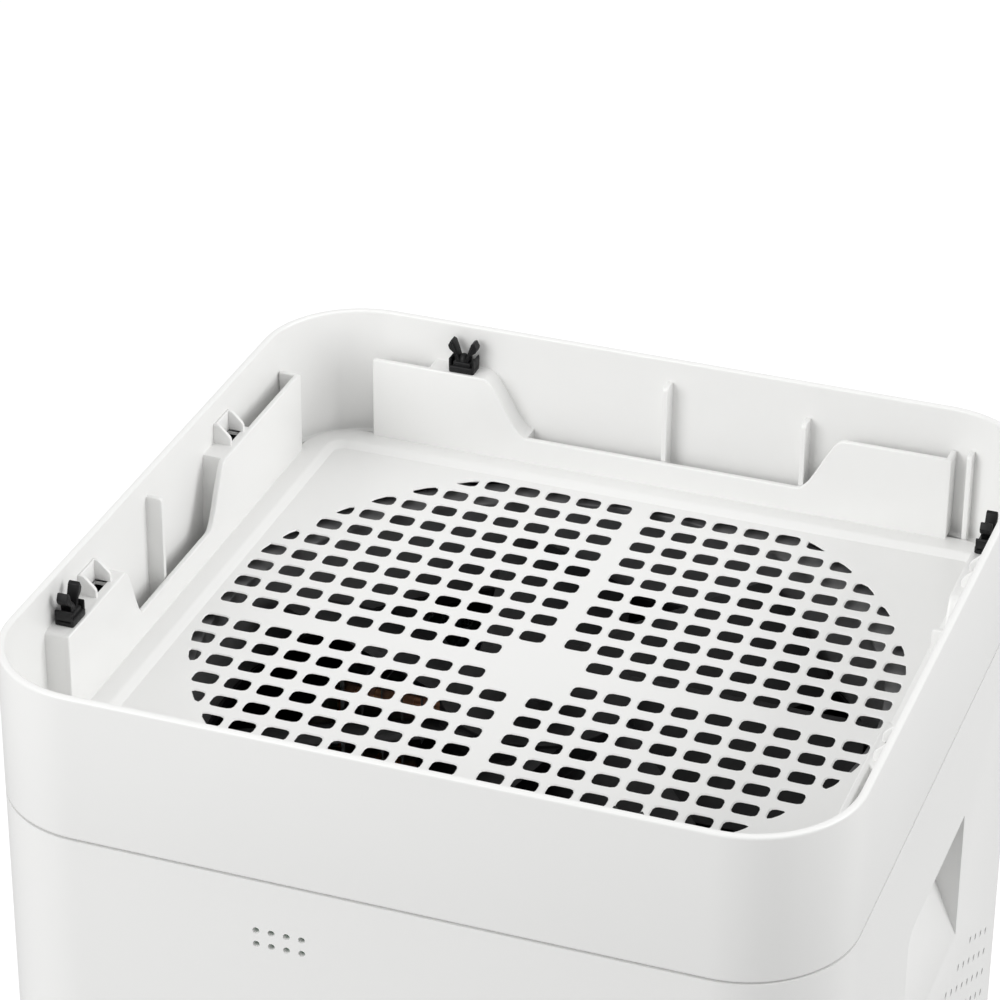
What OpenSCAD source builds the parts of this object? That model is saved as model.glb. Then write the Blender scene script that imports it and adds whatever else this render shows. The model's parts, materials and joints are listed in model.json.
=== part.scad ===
// Upright dehumidifier, shown with its top cover lifted off.
// Origin: centre of the floor under the castors. +Z up, -Y front, +X right. Millimetres.

/* [Body] */
// Width and depth of the square body
body_w = 290; // [280:1:310]
// Height from the floor to the rim of the collar
body_h = 560; // [550:1:600]
// Radius of the body's upright corners
corner_r = 38; // [36:1:42]
// Thickness of the moulded outer walls
wall = 2.7; // [2.4:0.1:3]
// Depth of the deck below the collar's rim
rim_h = 50.7; // [50:0.1:54]
// Depth of the seam below the deck
seam_drop = 3.5; // [3:0.1:4]

/* [Grille deck] */
// Distance from hole to hole
hole_pitch = 12; // [11.8:0.1:12.2]
// Width of a hole, left to right
hole_w = 9; // [8:0.1:9.2]
// Length of a hole, front to back
hole_d = 7.6; // [6.4:0.1:7.8]
// Centre distance of the holes on each side of a cross bar
bar_pitch = 16.7; // [16:0.1:17.5]
// Radius of the circle that clips the holes
grille_r = 124; // [118:1:125]
// How far that circle lies behind the deck's centre
grille_shift = 12; // [8:1:12]
// Half width of the flat deck
deck_half = 123.5; // [122:0.5:124]
// Rise of the ledge round the deck
ledge_rise = 2; // [1.5:0.1:2.5]

/* [Upstanding plates] */
// Distance of the plates' inner faces from the centre
plate_in = 133.4; // [133:0.1:133.6]
// Thickness of the plates
plate_t = 2.2; // [2:0.1:2.4]
// Height of a plate's high stretches above the deck
plate_high = 34.4; // [33:0.1:36]
// Height of the low curb between them
plate_low = 12; // [10:0.5:14]

/* [Fan] */
// Inner radius of the fan ring
ring_r = 119; // [118:1:120]
// Tip radius of the impeller
tip_r = 114; // [108:1:115]
// Number of impeller blades
blades = 7; // [5:1:9]
// Radius of the motor shaft
shaft_r = 4; // [3:0.5:4.5]

/* [Water tank] */
// Outer width of the tank
tank_w = 206; // [198:1:206]
// Height of the tank without its lid
tank_h = 134; // [125:1:138]
// Front-to-back length of the tank
tank_d = 146; // [140:1:147]
// Height of the tank's front panel
fascia_h = 164; // [160:1:165]

/* [Castors] */
// Radius of a castor wheel
wheel_r = 15; // [14:0.5:15.5]
// Width of a castor wheel
wheel_w = 12; // [10:1:13]
// Distance from the swivel axis to the wheel's axle
trail = 8; // [7:1:9]
// Distance of the castors from the body's centre lines
castor_at = 100; // [96:1:104]

/* [Hidden] */
$fn = 48;
eps = 0.01;
gap = 0.3;
fit = 0.05;
half = body_w / 2;
inner = half - wall;
inner_r = corner_r - wall;
deck_z = body_h - rim_h;
seam_z = deck_z - seam_drop;
grip_z = deck_z - 51.5;
plate_out = plate_in + plate_t;
flange_z = -14;
boss_foot = -12;

base_bottom = 18;
floor_z = 42;
shell_bottom = 46;
rear_half = 103.5;
rear_low = 47;
rear_high = deck_z - 19.5;
intake_half = 92;
intake_low = 256;
intake_high = 452;
bay_back = 31;
shelf_z = 229.5;

fan_y = 3;
coil_low = 264;
coil_high = 444;
coil_half = 100;
comp_x = 52;
comp_y = 86;
tank_low = 48;
tank_back = 26;
tank_front = tank_back - tank_d;
tank_top = tank_low + tank_h;
float_x = 78;
float_pivot = [float_x, 12, tank_top - 10];
drain_x = 84;
drain_z = 244;
inlet_x = -72;
inlet_z = 86;

white = "#f3f3f1";
trim_grey = "#c9cbcc";
dark = "#2b2c2e";
black = "#161617";
copper = "#b8693d";
fin_grey = "#c3c8cc";
galvanised = "#a9adb0";
board_green = "#2f6b46";
ring_grey = "#6e6f70";

// ---------- shapes used by several parts ----------

// Flat rectangle with round corners
module rounded(w, d, r) {
    square([w - 2 * r, d], center = true);
    square([w, d - 2 * r], center = true);
    for (sx = [-1, 1], sy = [-1, 1])
        translate([sx * (w / 2 - r), sy * (d / 2 - r)]) circle(r);
}

// Upright wall that follows the body's outline, from half width a in to half width b
module wall_ring(a, b, z0, z1) {
    translate([0, 0, z0]) linear_extrude(z1 - z0) difference() {
        rounded(2 * a, 2 * a, corner_r - (half - a));
        rounded(2 * b, 2 * b, corner_r - (half - b));
    }
}

// Box given by its two corners
module block(low, high) {
    translate(low) cube(high - low);
}

// Tube along z
module pipe(r_out, r_in, z0, z1) {
    translate([0, 0, z0]) difference() {
        cylinder(r = r_out, h = z1 - z0);
        translate([0, 0, -1]) cylinder(r = r_in, h = z1 - z0 + 2);
    }
}

// Repeats its children turned half a turn about the body's centre
module both_ways() {
    children();
    rotate([0, 0, 180]) children();
}

// Smooth S from one height to another
function s_curve(u0, v0, u1, v1, n = 8) =
    [for (i = [0:n]) let (t = i / n) [u0 + (u1 - u0) * t, v0 + (v1 - v0) * t * t * (3 - 2 * t)]];

// Centres of one half row of grille holes, counted out from a cross bar
function half_row(n = 9) = [for (i = [0:n], s = [-1, 1]) s * (bar_pitch / 2 + i * hole_pitch)];

// ---------- collar, deck and clips ----------

// Stiffening rib on the collar's inner wall, drawn at the back wall
module collar_rib(at, top, deep) {
    rib_t = 2;
    foot = -2;
    translate([at - rib_t / 2, 0, deck_z]) rotate([90, 0, 90]) linear_extrude(rib_t)
        polygon([[inner + 1, foot], [inner - deep, foot], [inner - deep, top - 1],
                 [inner - deep + 1, top], [inner + 1, top]]);
}

module top_collar() {
    tongue_out = inner - gap;
    tongue_in = inner - 1.9;
    rib_deep = inner - plate_in - plate_t - gap;
    color(white) {
        wall_ring(half, inner, seam_z + 0.3, body_h);
        wall_ring(inner + 1, tongue_in, seam_z + 0.3, seam_z + 4);
        wall_ring(tongue_out, tongue_in, seam_z - 6, seam_z + 1);
        both_ways() {
            collar_rib(2, 42, rib_deep);
            collar_rib(55, 37, rib_deep);
            collar_rib(117, 36, rib_deep);
            rotate([0, 0, 90]) collar_rib(-5, 43, 6);
        }
    }
}

// One grille hole with its corners taken off
module grille_hole() {
    cut = 1.2;
    w = hole_w / 2;
    d = hole_d / 2;
    polygon([[-w + cut, -d], [w - cut, -d], [w, -d + cut], [w, d - cut],
             [w - cut, d], [-w + cut, d], [-w, d - cut], [-w, -d + cut]]);
}

// All the grille's holes, clipped by the circle, with a solid hub in the middle
module grille_holes() {
    intersection() {
        translate([0, grille_shift]) circle(grille_r);
        for (x = half_row(), y = half_row())
            if (abs(x) > hole_pitch || abs(y) > hole_pitch) translate([x, y]) grille_hole();
    }
}

// Outline of an upstanding plate: high, low, high along its length
module plate_outline(start, fall, rise, end) {
    polygon(concat([[start, ledge_rise]], s_curve(start, plate_high, start + 1, plate_high, 1),
                   s_curve(fall[0], plate_high, fall[1], plate_low),
                   s_curve(rise[0], plate_low, rise[1], plate_high),
                   [[end, plate_high], [end, ledge_rise]]));
}

// Upstanding plate drawn at the back wall, with a wall at one end that closes the channel behind it
module plate(start, fall, rise, end) {
    translate([0, plate_out, 0]) rotate([90, 0, 0]) linear_extrude(plate_t)
        plate_outline(start, fall, rise, end);
    block([end - plate_t, plate_out - 0.5, ledge_rise], [end, inner - 0.9, plate_high]);
}

// Hollow boss behind a plate, drawn at the back wall: an end wall, a roof and a ramp down the plate's S
module plate_boss(end, ramp, windows = []) {
    skin = 2;
    out = inner - gap;
    side = end < ramp[0] ? 1 : -1;
    open_w = 10;
    open_d = 4.6;
    frame_t = 1.5;
    frame_h = 7.6;
    lean = 4.6;
    mid = (plate_out + out) / 2;
    back = mid + open_d / 2;
    difference() {
        translate([0, out, 0]) rotate([90, 0, 0]) linear_extrude(out - plate_out) difference() {
            polygon(concat([[end, boss_foot], [end, plate_high]],
                           s_curve(ramp[0], plate_high, ramp[1], plate_low), [[ramp[1], boss_foot]]));
            polygon(concat([[end + side * skin, boss_foot - 1], [end + side * skin, plate_high - skin]],
                           s_curve(ramp[0] - side * skin, plate_high - skin,
                                   ramp[1] - side * skin, plate_low - skin),
                           [[ramp[1] - side * skin, boss_foot - 1]]));
        }
        for (w = windows)
            block([w - open_w / 2, mid - open_d / 2, plate_high - 4], [w + open_w / 2, back, plate_high + 1]);
        // Room for the collar's tongue
        block([-half, inner - 2.4, boss_foot - 1], [half, half, 1]);
    }
    // Three-sided frame round each window, open towards the deck, its end walls sloping down that way
    for (w = windows) {
        block([w - open_w / 2 - frame_t, back, plate_high - 0.5],
              [w + open_w / 2 + frame_t, out, plate_high + frame_h]);
        for (x = [w - open_w / 2 - frame_t, w + open_w / 2])
            translate([x, 0, 0]) rotate([90, 0, 90]) linear_extrude(frame_t)
                polygon([[plate_out, plate_high - 0.5], [out, plate_high - 0.5], [out, plate_high + frame_h],
                         [back - 1, plate_high + frame_h], [plate_out, plate_high + frame_h - lean]]);
    }
}

module grille_deck() {
    deck_t = 2;
    color(white) translate([0, 0, deck_z]) {
        translate([0, 0, -deck_t]) linear_extrude(deck_t) difference() {
            square(2 * deck_half + 6, center = true);
            grille_holes();
        }
        // Sloping step up from the deck to the ledge
        for (turn = [0:90:270])
            rotate([0, 0, turn]) translate([deck_half + 3, 0, 0]) rotate([90, 0, 0])
                linear_extrude(2 * deck_half + 6, center = true)
                    polygon([[0.5, -1], [0.5, ledge_rise], [0, ledge_rise], [-3, 0], [-3, -1]]);
        // Ledge, skirt below it and the flange that rests in the body
        translate([0, 0, -1]) linear_extrude(1 + ledge_rise) difference() {
            rounded(2 * plate_out, 2 * plate_out, 20);
            square(2 * deck_half + 6, center = true);
        }
        translate([0, 0, flange_z]) linear_extrude(1 - flange_z) difference() {
            rounded(2 * plate_out, 2 * plate_out, 20);
            rounded(2 * plate_in, 2 * plate_in, 17.8);
        }
        translate([0, 0, flange_z]) linear_extrude(boss_foot - flange_z) difference() {
            rounded(2 * (inner - 2.4), 2 * (inner - 2.4), inner_r - 2.4);
            rounded(2 * plate_in, 2 * plate_in, 17.8);
        }
    }
}

// Black liners under the sockets' windows, where the cover's tabs catch
module tab_catches() {
    low = plate_high - 16;
    high = plate_high - 2;
    mid = (plate_out + inner - gap) / 2;
    color(black) translate([0, 0, deck_z]) both_ways() rotate([0, 0, 90]) for (w = [-55, 59]) difference() {
        block([w - 6, plate_out, low], [w + 6, inner - gap, high]);
        block([w - 5.2, mid - 2.4, low + 2], [w + 5.2, mid + 2.4, high + 1]);
    }
}

// Left and right plates, then back and front plates
module upstanding_plates() {
    color(white) translate([0, 0, deck_z]) both_ways() {
        mirror([1, 0, 0]) rotate([0, 0, -90]) mirror([1, 0, 0]) plate(-87.5, [-43, -30], [27, 43], 113.4);
        plate(-112.6, [-69, -51], [54, 71], 111);
    }
}

module cover_bosses() {
    color(white) translate([0, 0, deck_z]) both_ways() {
        rotate([0, 0, 90]) plate_boss(-87.5, [-43, -30], [-55]);
        rotate([0, 0, 90]) plate_boss(69, [43, 41], [59]);
        plate_boss(-91, [-69, -51]);
    }
}

// Snap clip: a base with upturned lips, a domed middle and two splayed barbed prongs
module snap_clip() {
    base_h = 4;
    prong_t = 4;
    translate([0, 0, base_h / 2]) cube([10, 7, base_h], center = true);
    for (s = [-1, 1]) {
        translate([0, s * 2.9, base_h]) cube([8, 1.2, 1.6], center = true);
        translate([0, prong_t / 2, 0]) rotate([90, 0, 0]) linear_extrude(prong_t)
            polygon([[s * 0.4, base_h - 1], [s * 2.2, base_h - 1], [s * 3.1, base_h + 3],
                     [s * 5.2, base_h + 4.6], [s * 5.8, base_h + 6.2], [s * 4.6, base_h + 8.6],
                     [s * 3.4, base_h + 8], [s * 2.2, base_h + 4.5]]);
    }
    translate([0, 0, base_h - 0.5]) cylinder(r = 2, h = 3.2);
}

module cover_clips() {
    mid = (plate_in + inner) / 2;
    color(black) translate([0, 0, deck_z + plate_high]) both_ways() {
        translate([-77.5, mid, 0]) snap_clip();
        translate([-mid, -77, 0]) rotate([0, 0, 90]) snap_clip();
    }
}

// ---------- body shell, rear panel and filter ----------

// Scooped hand hold, drawn for the right side. grow thickens it into the cup's outside
module grip_scoop(grow = 0) {
    front = -36.3;
    back = 40;
    deep = 20;
    run_out = 50;
    lift = 12;
    lip = 3.5;
    corner = 7;
    depth_in = half - deep - grow;
    intersection() {
        translate([0, back + grow, grip_z]) rotate([90, 0, 0]) linear_extrude(back - front + 2 * grow)
            polygon([[half + 1, 0], [half - lip, 0], [half - lip, lift + grow], [depth_in, lift + grow],
                     [depth_in, -2], [half - grow, -run_out - 1], [half + 1, -run_out - 3]]);
        // Side view of the opening: square at the back, rounded at the front top corner
        translate([half - 40, 0, grip_z]) rotate([90, 0, 90]) linear_extrude(60) {
            translate([front - grow, -run_out - 5]) square([back - front + 2 * grow, run_out + 5 - corner]);
            translate([front + corner, -corner - 1])
                square([back - front - corner + grow, lift + corner + grow + 1]);
            translate([front + corner, -corner]) circle(corner + grow);
            translate([front + corner, -corner]) square([20, lift + corner + grow]);
        }
    }
}

// Staggered field of round inlet holes in the two side walls
module side_holes() {
    hole_r = 1.4;
    step_y = 9;
    step_z = 9.4;
    columns = 22;
    rows = 10;
    top = deck_z - 123.5;
    rotate([90, 0, 90]) translate([0, 0, -half - 5]) linear_extrude(body_w + 10)
        for (i = [0:columns - 1], j = [0:rows - 1])
            if (j > 0 || (i > 1 && i < columns - 2))
                translate([(i - (columns - 1) / 2) * step_y, top - (j + (i % 2) / 2) * step_z])
                    circle(hole_r);
}

// Two rows of four round holes in the front, in front of the humidity sensor
module front_holes() {
    step = 5.25;
    for (i = [0:3], j = [0:1])
        translate([-43.2 + i * step, -half - 1, deck_z - 23 - j * step]) rotate([-90, 0, 0])
            cylinder(r = 1.2, h = wall + 2);
}

module body_shell() {
    ledge_z = deck_z - 14;
    color(white) {
        difference() {
            wall_ring(half, inner, shell_bottom, seam_z - 0.3);
            block([-rear_half - gap, inner - 1, shell_bottom - 1],
                  [rear_half + gap, half + 1, rear_high + gap]);
            block([-104.3, -half - 1, shell_bottom - 1], [104.3, -inner + 1, tank_low + fascia_h + gap]);
            grip_scoop();
            mirror([1, 0, 0]) grip_scoop();
            side_holes();
            front_holes();
        }
        // Cups behind the hand holds
        for (side = [0, 1]) mirror([side, 0, 0]) intersection() {
            difference() {
                grip_scoop(2.2);
                grip_scoop();
            }
            block([100, -60, grip_z - 70], [inner + 0.5, 60, grip_z + 30]);
        }
        // Ledge that carries the grille deck
        wall_ring(inner + 0.5, plate_in, ledge_z - 2.5, ledge_z);
        // Rails that the rear panel is screwed to
        for (side = [0, 1]) mirror([side, 0, 0])
            difference() {
                block([96, inner - 3, rear_low + 3], [112, inner, rear_high - 3]);
                for (z = screw_heights())
                    translate([rear_half - 4, inner - 4, z]) rotate([-90, 0, 0]) cylinder(r = 1.6, h = 6);
            }
        // Rails that locate the shell on the base pan
        for (side = [0, 1]) mirror([side, 0, 0])
            block([inner - 2, -100, shell_bottom], [inner + 0.5, 100, shell_bottom + 6]);
    }
}

// Heights of the rear panel's screws
function screw_heights() = [rear_low + 12, (rear_low + rear_high) / 2 - 40, rear_high - 12];

module rear_panel() {
    color(white) difference() {
        block([-rear_half, inner, rear_low], [rear_half, half, rear_high]);
        block([-intake_half - gap, inner - 1, intake_low - gap],
              [intake_half + gap, half + 1, intake_high + gap]);
        for (s = [-1, 1], z = screw_heights()) translate([s * (rear_half - 4), 0, z]) rotate([-90, 0, 0]) {
            translate([0, 0, inner - 1]) cylinder(r = 2.1, h = 5);
            translate([0, 0, half - 1.5]) cylinder(r = 3.8, h = 3);
        }
        translate([drain_x, inner - 1, drain_z]) rotate([-90, 0, 0]) cylinder(r = 9.4, h = 5);
        block([inlet_x - 18.3, inner - 1, inlet_z - 14.3], [inlet_x + 18.3, half + 1, inlet_z + 14.3]);
        // Cooling slots beside the compressor
        for (i = [0:7]) block([10, inner - 1, 76 + i * 12], [84, half + 1, 80 + i * 12]);
    }
}

module rear_screws() {
    color(trim_grey) for (s = [-1, 1], z = screw_heights())
        translate([s * (rear_half - 4), 0, z]) rotate([-90, 0, 0]) {
            translate([0, 0, inner - 3]) cylinder(r = 1.6, h = 5);
            difference() {
                translate([0, 0, half - 1.5]) cylinder(r1 = 3.6, r2 = 3.1, h = 1.4);
                translate([0, 0, half - 0.3]) cube([4.4, 0.9, 1.6], center = true);
                translate([0, 0, half - 0.3]) cube([0.9, 4.4, 1.6], center = true);
            }
        }
}

module intake_grille() {
    slot_h = 5;
    slot_step = 11;
    color(white) difference() {
        block([-intake_half, inner, intake_low], [intake_half, half, intake_high]);
        for (i = [0:15], s = [-1, 1])
            translate([s * 43, half, intake_low + 16 + i * slot_step])
                cube([76, 4 * wall, slot_h], center = true);
        // Finger notch at the top
        block([-22, half - 1.6, intake_high - 12], [22, half + 1, intake_high - 4]);
    }
}

module filter_frame() {
    color(trim_grey) difference() {
        block([-86, inner - 5, intake_low + 4], [86, inner, intake_high - 4]);
        for (i = [0:2], j = [0:1])
            block([-82 + i * 55.6, inner - 6, intake_low + 8 + j * 95],
                  [-82 + i * 55.6 + 52.8, inner + 1, intake_low + 8 + j * 95 + 93]);
    }
}

module filter_mesh() {
    color("#8d9498") block([-85, inner - 5.8, intake_low + 5], [85, inner - 5, intake_high - 5]);
}

// ---------- fan ----------

module fan_ring() {
    ring_t = 2.4;
    color(ring_grey) translate([0, fan_y, deck_z]) {
        pipe(ring_r + ring_t, ring_r, -40, -3);
        intersection() {
            pipe(134, ring_r, -5, -3);
            translate([0, -fan_y, -10]) linear_extrude(10)
                rounded(2 * plate_in - 1, 2 * plate_in - 1, 17);
        }
    }
}

module motor_bracket() {
    arm_w = 9;
    color(dark) translate([0, fan_y, deck_z]) difference() {
        union() {
            translate([0, 0, -44]) cylinder(r = 42, h = 4);
            for (turn = [45:90:315])
                rotate([0, 0, turn]) block([30, -arm_w / 2, -44], [ring_r + 2.4, arm_w / 2, -40]);
            pipe(ring_r + 2.4, ring_r - 1, -44, -40);
        }
        translate([0, 0, -45]) cylinder(r = 9, h = 6);
    }
}

module fan_motor() {
    can_r = 36;
    color(galvanised) translate([0, fan_y, deck_z]) difference() {
        union() {
            translate([0, 0, -84]) cylinder(r = can_r, h = 40);
            translate([0, 0, -89]) cylinder(r = can_r - 8, h = 6);
            translate([0, 0, -45]) cylinder(r = 8.7, h = 5);
        }
        translate([0, 0, -70]) cylinder(r = shaft_r + fit, h = 40);
    }
}

module fan_shaft() {
    color(fin_grey) translate([0, fan_y, deck_z - 66]) cylinder(r = shaft_r, h = 55);
}

// One blade: a tilted slab trimmed to the fan's annulus
module fan_blade(hub_r) {
    intersection() {
        pipe(tip_r, hub_r - 1.2, -35.2, -12.6);
        translate([0, 0, -24]) rotate([28, 0, 0]) translate([hub_r / 2, -28, -1.1])
            cube([tip_r, 56, 2.2]);
    }
}

module fan_impeller() {
    hub_r = 34;
    color(black) translate([0, fan_y, deck_z]) {
        difference() {
            translate([0, 0, -36]) cylinder(r = hub_r, h = 25);
            translate([0, 0, -37]) cylinder(r = hub_r - 2.4, h = 23);
            translate([0, 0, -20]) cylinder(r = shaft_r, h = 12);
        }
        pipe(8, shaft_r, -34, -13);
        for (i = [0:blades - 1]) rotate([0, 0, i * 360 / blades]) fan_blade(hub_r);
    }
}

module impeller_nut() {
    color(fin_grey) translate([0, fan_y, deck_z - 11]) cylinder(r = 6, h = 5, $fn = 6);
}

// ---------- refrigerant circuit ----------

// Stack of thin plates across the tubes, with two thicker end plates
module coil_fins(y0, y1, tube_ys) {
    count = 26;
    step = 2 * coil_half / (count - 1);
    for (i = [0:count - 1])
        let (t = (i == 0 || i == count - 1) ? 1.6 : 0.8)
            translate([-coil_half + i * step - t / 2, 0, 0]) rotate([90, 0, 90]) linear_extrude(t)
                difference() {
                    translate([y0, coil_low]) square([y1 - y0, coil_high - coil_low]);
                    for (y = tube_ys, z = tube_heights()) translate([y, z]) circle(4 + fit);
                }
}

function tube_heights() = [for (i = [0:5]) coil_low + 15 + i * 30];

// Straight tubes joined by half-round bends at alternate ends
module coil_tubes(y) {
    bend_x = coil_half + 3;
    for (i = [0:5])
        translate([-bend_x, y, tube_heights()[i]]) rotate([0, 90, 0]) cylinder(r = 4, h = 2 * bend_x);
    for (i = [0:4])
        let (s = i % 2 == 0 ? 1 : -1)
            translate([s * bend_x, y, tube_heights()[i] + 15]) rotate([90, 0, 0])
                rotate([0, 0, s > 0 ? -90 : 90]) rotate_extrude(angle = 180) translate([15, 0]) circle(4);
}

module condenser_fins() {
    color(fin_grey) coil_fins(68, 96, [82]);
}

module condenser_tubes() {
    color(copper) coil_tubes(82);
}

module evaporator_fins() {
    color(fin_grey) coil_fins(104, 130, [117]);
}

module evaporator_tubes() {
    color(copper) coil_tubes(117);
}

module compressor() {
    can_r = 46;
    low = 64;
    high = 214;
    dome = [for (i = [0:6]) let (a = i * 15) [can_r * cos(a), high - 16 + 16 * sin(a)]];
    foot = [for (i = [0:6]) let (a = i * 15) [can_r * sin(a), low + 14 - 14 * cos(a)]];
    color(black) translate([comp_x, comp_y, 0]) {
        rotate_extrude() polygon(concat(foot, dome, [[0, low]]));
        difference() {
            union() {
                translate([0, 0, 61]) cylinder(r = 34, h = 4);
                for (turn = [0:120:240]) rotate([0, 0, turn]) {
                    block([0, -8, 61], [48, 8, 64]);
                    translate([48, 0, 61]) cylinder(r = 8, h = 3);
                }
            }
            for (turn = [0:120:240]) rotate([0, 0, turn]) translate([48, 0, 60]) cylinder(r = 5, h = 6);
        }
        translate([14, 0, high - 4]) cylinder(r = 5, h = 14);
        translate([-18, 0, high - 4]) cylinder(r = 9, h = 9);
    }
}

module compressor_mounts() {
    color(dark) translate([comp_x, comp_y, 0]) for (turn = [0:120:240]) rotate([0, 0, turn])
        translate([48, 0, 0]) {
            translate([0, 0, floor_z]) cylinder(r = 9, h = 19);
            translate([0, 0, floor_z + 18]) cylinder(r = 4.9, h = 6.4);
        }
}

module suction_accumulator() {
    color(black) translate([comp_x - 68, comp_y, 0]) {
        translate([0, 0, 96]) cylinder(r = 15, h = 84);
        translate([0, 0, 86]) cylinder(r1 = 5, r2 = 15, h = 10);
        translate([0, 0, 180]) cylinder(r1 = 15, r2 = 5, h = 10);
        // Strap to the compressor and the elbow that feeds it
        block([12, -3, 130], [22, 3, 142]);
        translate([0, 0, 76]) cylinder(r = 4, h = 12);
        translate([0, 0, 76]) rotate([0, 90, 0]) cylinder(r = 4, h = 22.3);
    }
}

// Ring of points round a path, and the tube skinned over the rings
function unit(v) = v / norm(v);
function tangent(p, i) = unit(p[min(i + 1, len(p) - 1)] - p[max(i - 1, 0)]);
function side_of(t) = abs(t[2]) > 0.9 ? unit(cross(t, [1, 0, 0])) : unit(cross(t, [0, 0, 1]));
function ring_at(p, i, r, n) =
    let (t = tangent(p, i), a = side_of(t), b = cross(t, a))
        [for (k = [0:n - 1]) p[i] + r * (cos(360 * k / n) * a + sin(360 * k / n) * b)];

// Points of a route whose corners are rounded by quadratic curves
function soft_corner(a, b, c, r, n = 5) =
    let (p = b + unit(a - b) * r, q = b + unit(c - b) * r)
        [for (k = [0:n]) let (t = k / n) (1 - t) * (1 - t) * p + 2 * t * (1 - t) * b + t * t * q];
function soft_route(p, r) =
    concat([p[0]], [for (i = [1:len(p) - 2]) each soft_corner(p[i - 1], p[i], p[i + 1], r)], [p[len(p) - 1]]);

module swept_tube(route, r, bend) {
    n = 10;
    p = soft_route(route, bend);
    m = len(p);
    polyhedron(
        points = [for (i = [0:m - 1]) each ring_at(p, i, r, n)],
        faces = concat([[for (k = [n - 1:-1:0]) k]],
                       [for (i = [0:m - 2], k = [0:n - 1])
                           [i * n + k, i * n + (k + 1) % n, (i + 1) * n + (k + 1) % n, (i + 1) * n + k]],
                       [[for (k = [0:n - 1]) (m - 1) * n + k]]));
}

module discharge_pipe() {
    top = tube_heights()[5];
    end = coil_half + 3;
    color(copper) swept_tube([[comp_x + 14, comp_y, 224], [comp_x + 14, comp_y, 233], [-122, 70, 233],
                              [-122, 70, top], [-122, 82, top], [-end, 82, top]], 3.2, 4);
}

module liquid_pipe() {
    low = tube_heights()[0];
    end = coil_half + 3;
    color(copper) swept_tube([[-end, 82, low], [-117, 82, low], [-117, 117, low], [-end, 117, low]], 2.2, 6);
}

module suction_pipe() {
    top = tube_heights()[5];
    end = coil_half + 3;
    color(copper) swept_tube([[-end, 117, top], [-120, 117, top], [-122, 125, top - 30], [-122, 125, 220],
                              [comp_x - 68, 125, 206], [comp_x - 68, comp_y, 206],
                              [comp_x - 68, comp_y, 190]], 3.6, 5);
}

// ---------- water handling and chassis ----------

module drip_tray() {
    low = 238;
    high = 254;
    t = 2;
    spout_y = 5;
    color(trim_grey) {
        difference() {
            union() {
                block([-112, 60, low], [112, 136, high]);
                block([-14, spout_y - 12, low], [14, 62, high - 4]);
                translate([0, spout_y, 212]) cylinder(r = 6, h = low - 212 + 1);
                translate([drain_x, 135, drain_z]) rotate([-90, 0, 0]) cylinder(r = 5.6, h = 7.2);
            }
            block([-112 + t, 60 + t, low + t], [112 - t, 136 - t, high + 1]);
            block([-14 + t, spout_y - 12 + t, low + t], [14 - t, 63, high + 1]);
            translate([0, spout_y, 211]) cylinder(r = 4, h = 40);
            translate([drain_x, 130, drain_z]) rotate([-90, 0, 0]) cylinder(r = 4, h = 20);
        }
    }
}

module drain_cap() {
    color(dark) translate([drain_x, 0, drain_z]) rotate([-90, 0, 0]) {
        translate([0, 0, 137]) cylinder(r = 3.95, h = 7);
        difference() {
            translate([0, 0, half - 2.4]) cylinder(r = 9, h = 2.3);
            translate([0, 4.6, half]) cube([9, 3, 2.4], center = true);
        }
    }
}

module tank_bay() {
    t = 2.5;
    side = tank_w / 2 + 5.5;
    color(galvanised) difference() {
        union() {
            block([-side, bay_back, floor_z], [side, bay_back + t, shelf_z + t]);
            block([-side, -132, shelf_z], [side, bay_back + t, shelf_z + t]);
            for (s = [0, 1])
                mirror([s, 0, 0]) block([side - t, -132, floor_z], [side, bay_back + t, shelf_z + t]);
        }
        translate([0, 5, shelf_z - 1]) cylinder(r = 8, h = 6);
    }
}

module castor_places() {
    for (sx = [-1, 1], sy = [-1, 1]) translate([sx * castor_at, sy * castor_at, 0]) children();
}

module base_pan() {
    socket_h = 14;
    color(dark) difference() {
        union() {
            wall_ring(half - 0.6, inner - 0.6, base_bottom, shell_bottom - 0.6);
            translate([0, 0, floor_z - 4]) linear_extrude(4)
                rounded(2 * inner, 2 * inner, inner_r);
            castor_places() translate([0, 0, floor_z - 6]) cylinder(r = 12, h = 3);
            for (x = [-50, 0, 50]) block([x - 1, -inner, floor_z - 12], [x + 1, inner, floor_z - 3]);
            // Runners that carry the water tank
            for (x = [-80, 80]) block([x - 5, -136, floor_z - 1], [x + 5, 28, tank_low - gap]);
        }
        castor_places() translate([0, 0, floor_z - 7]) cylinder(r = shaft_r + fit, h = socket_h);
    }
}

// Tank outline seen from above
module tank_outline(in = 0) {
    translate([0, (tank_back + tank_front) / 2]) rounded(tank_w - 2 * in, tank_d - 2 * in, 14 - in);
}

module water_tank() {
    t = 2.4;
    ear_gap = 5;
    color("#dfe6ea") difference() {
        union() {
            difference() {
                translate([0, 0, tank_low]) linear_extrude(tank_h) tank_outline();
                translate([0, 0, tank_low + t]) linear_extrude(tank_h) tank_outline(t);
            }
            // Ears that carry the float's pin
            for (s = [-1, 1])
                block([float_x + s * (ear_gap + 1) - 1, 5, tank_top - 17],
                      [float_x + s * (ear_gap + 1) + 1, tank_back - 1, tank_top - 5]);
        }
        translate(float_pivot - [12, 0, 0]) rotate([0, 90, 0]) cylinder(r = 2, h = 24);
    }
}

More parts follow.
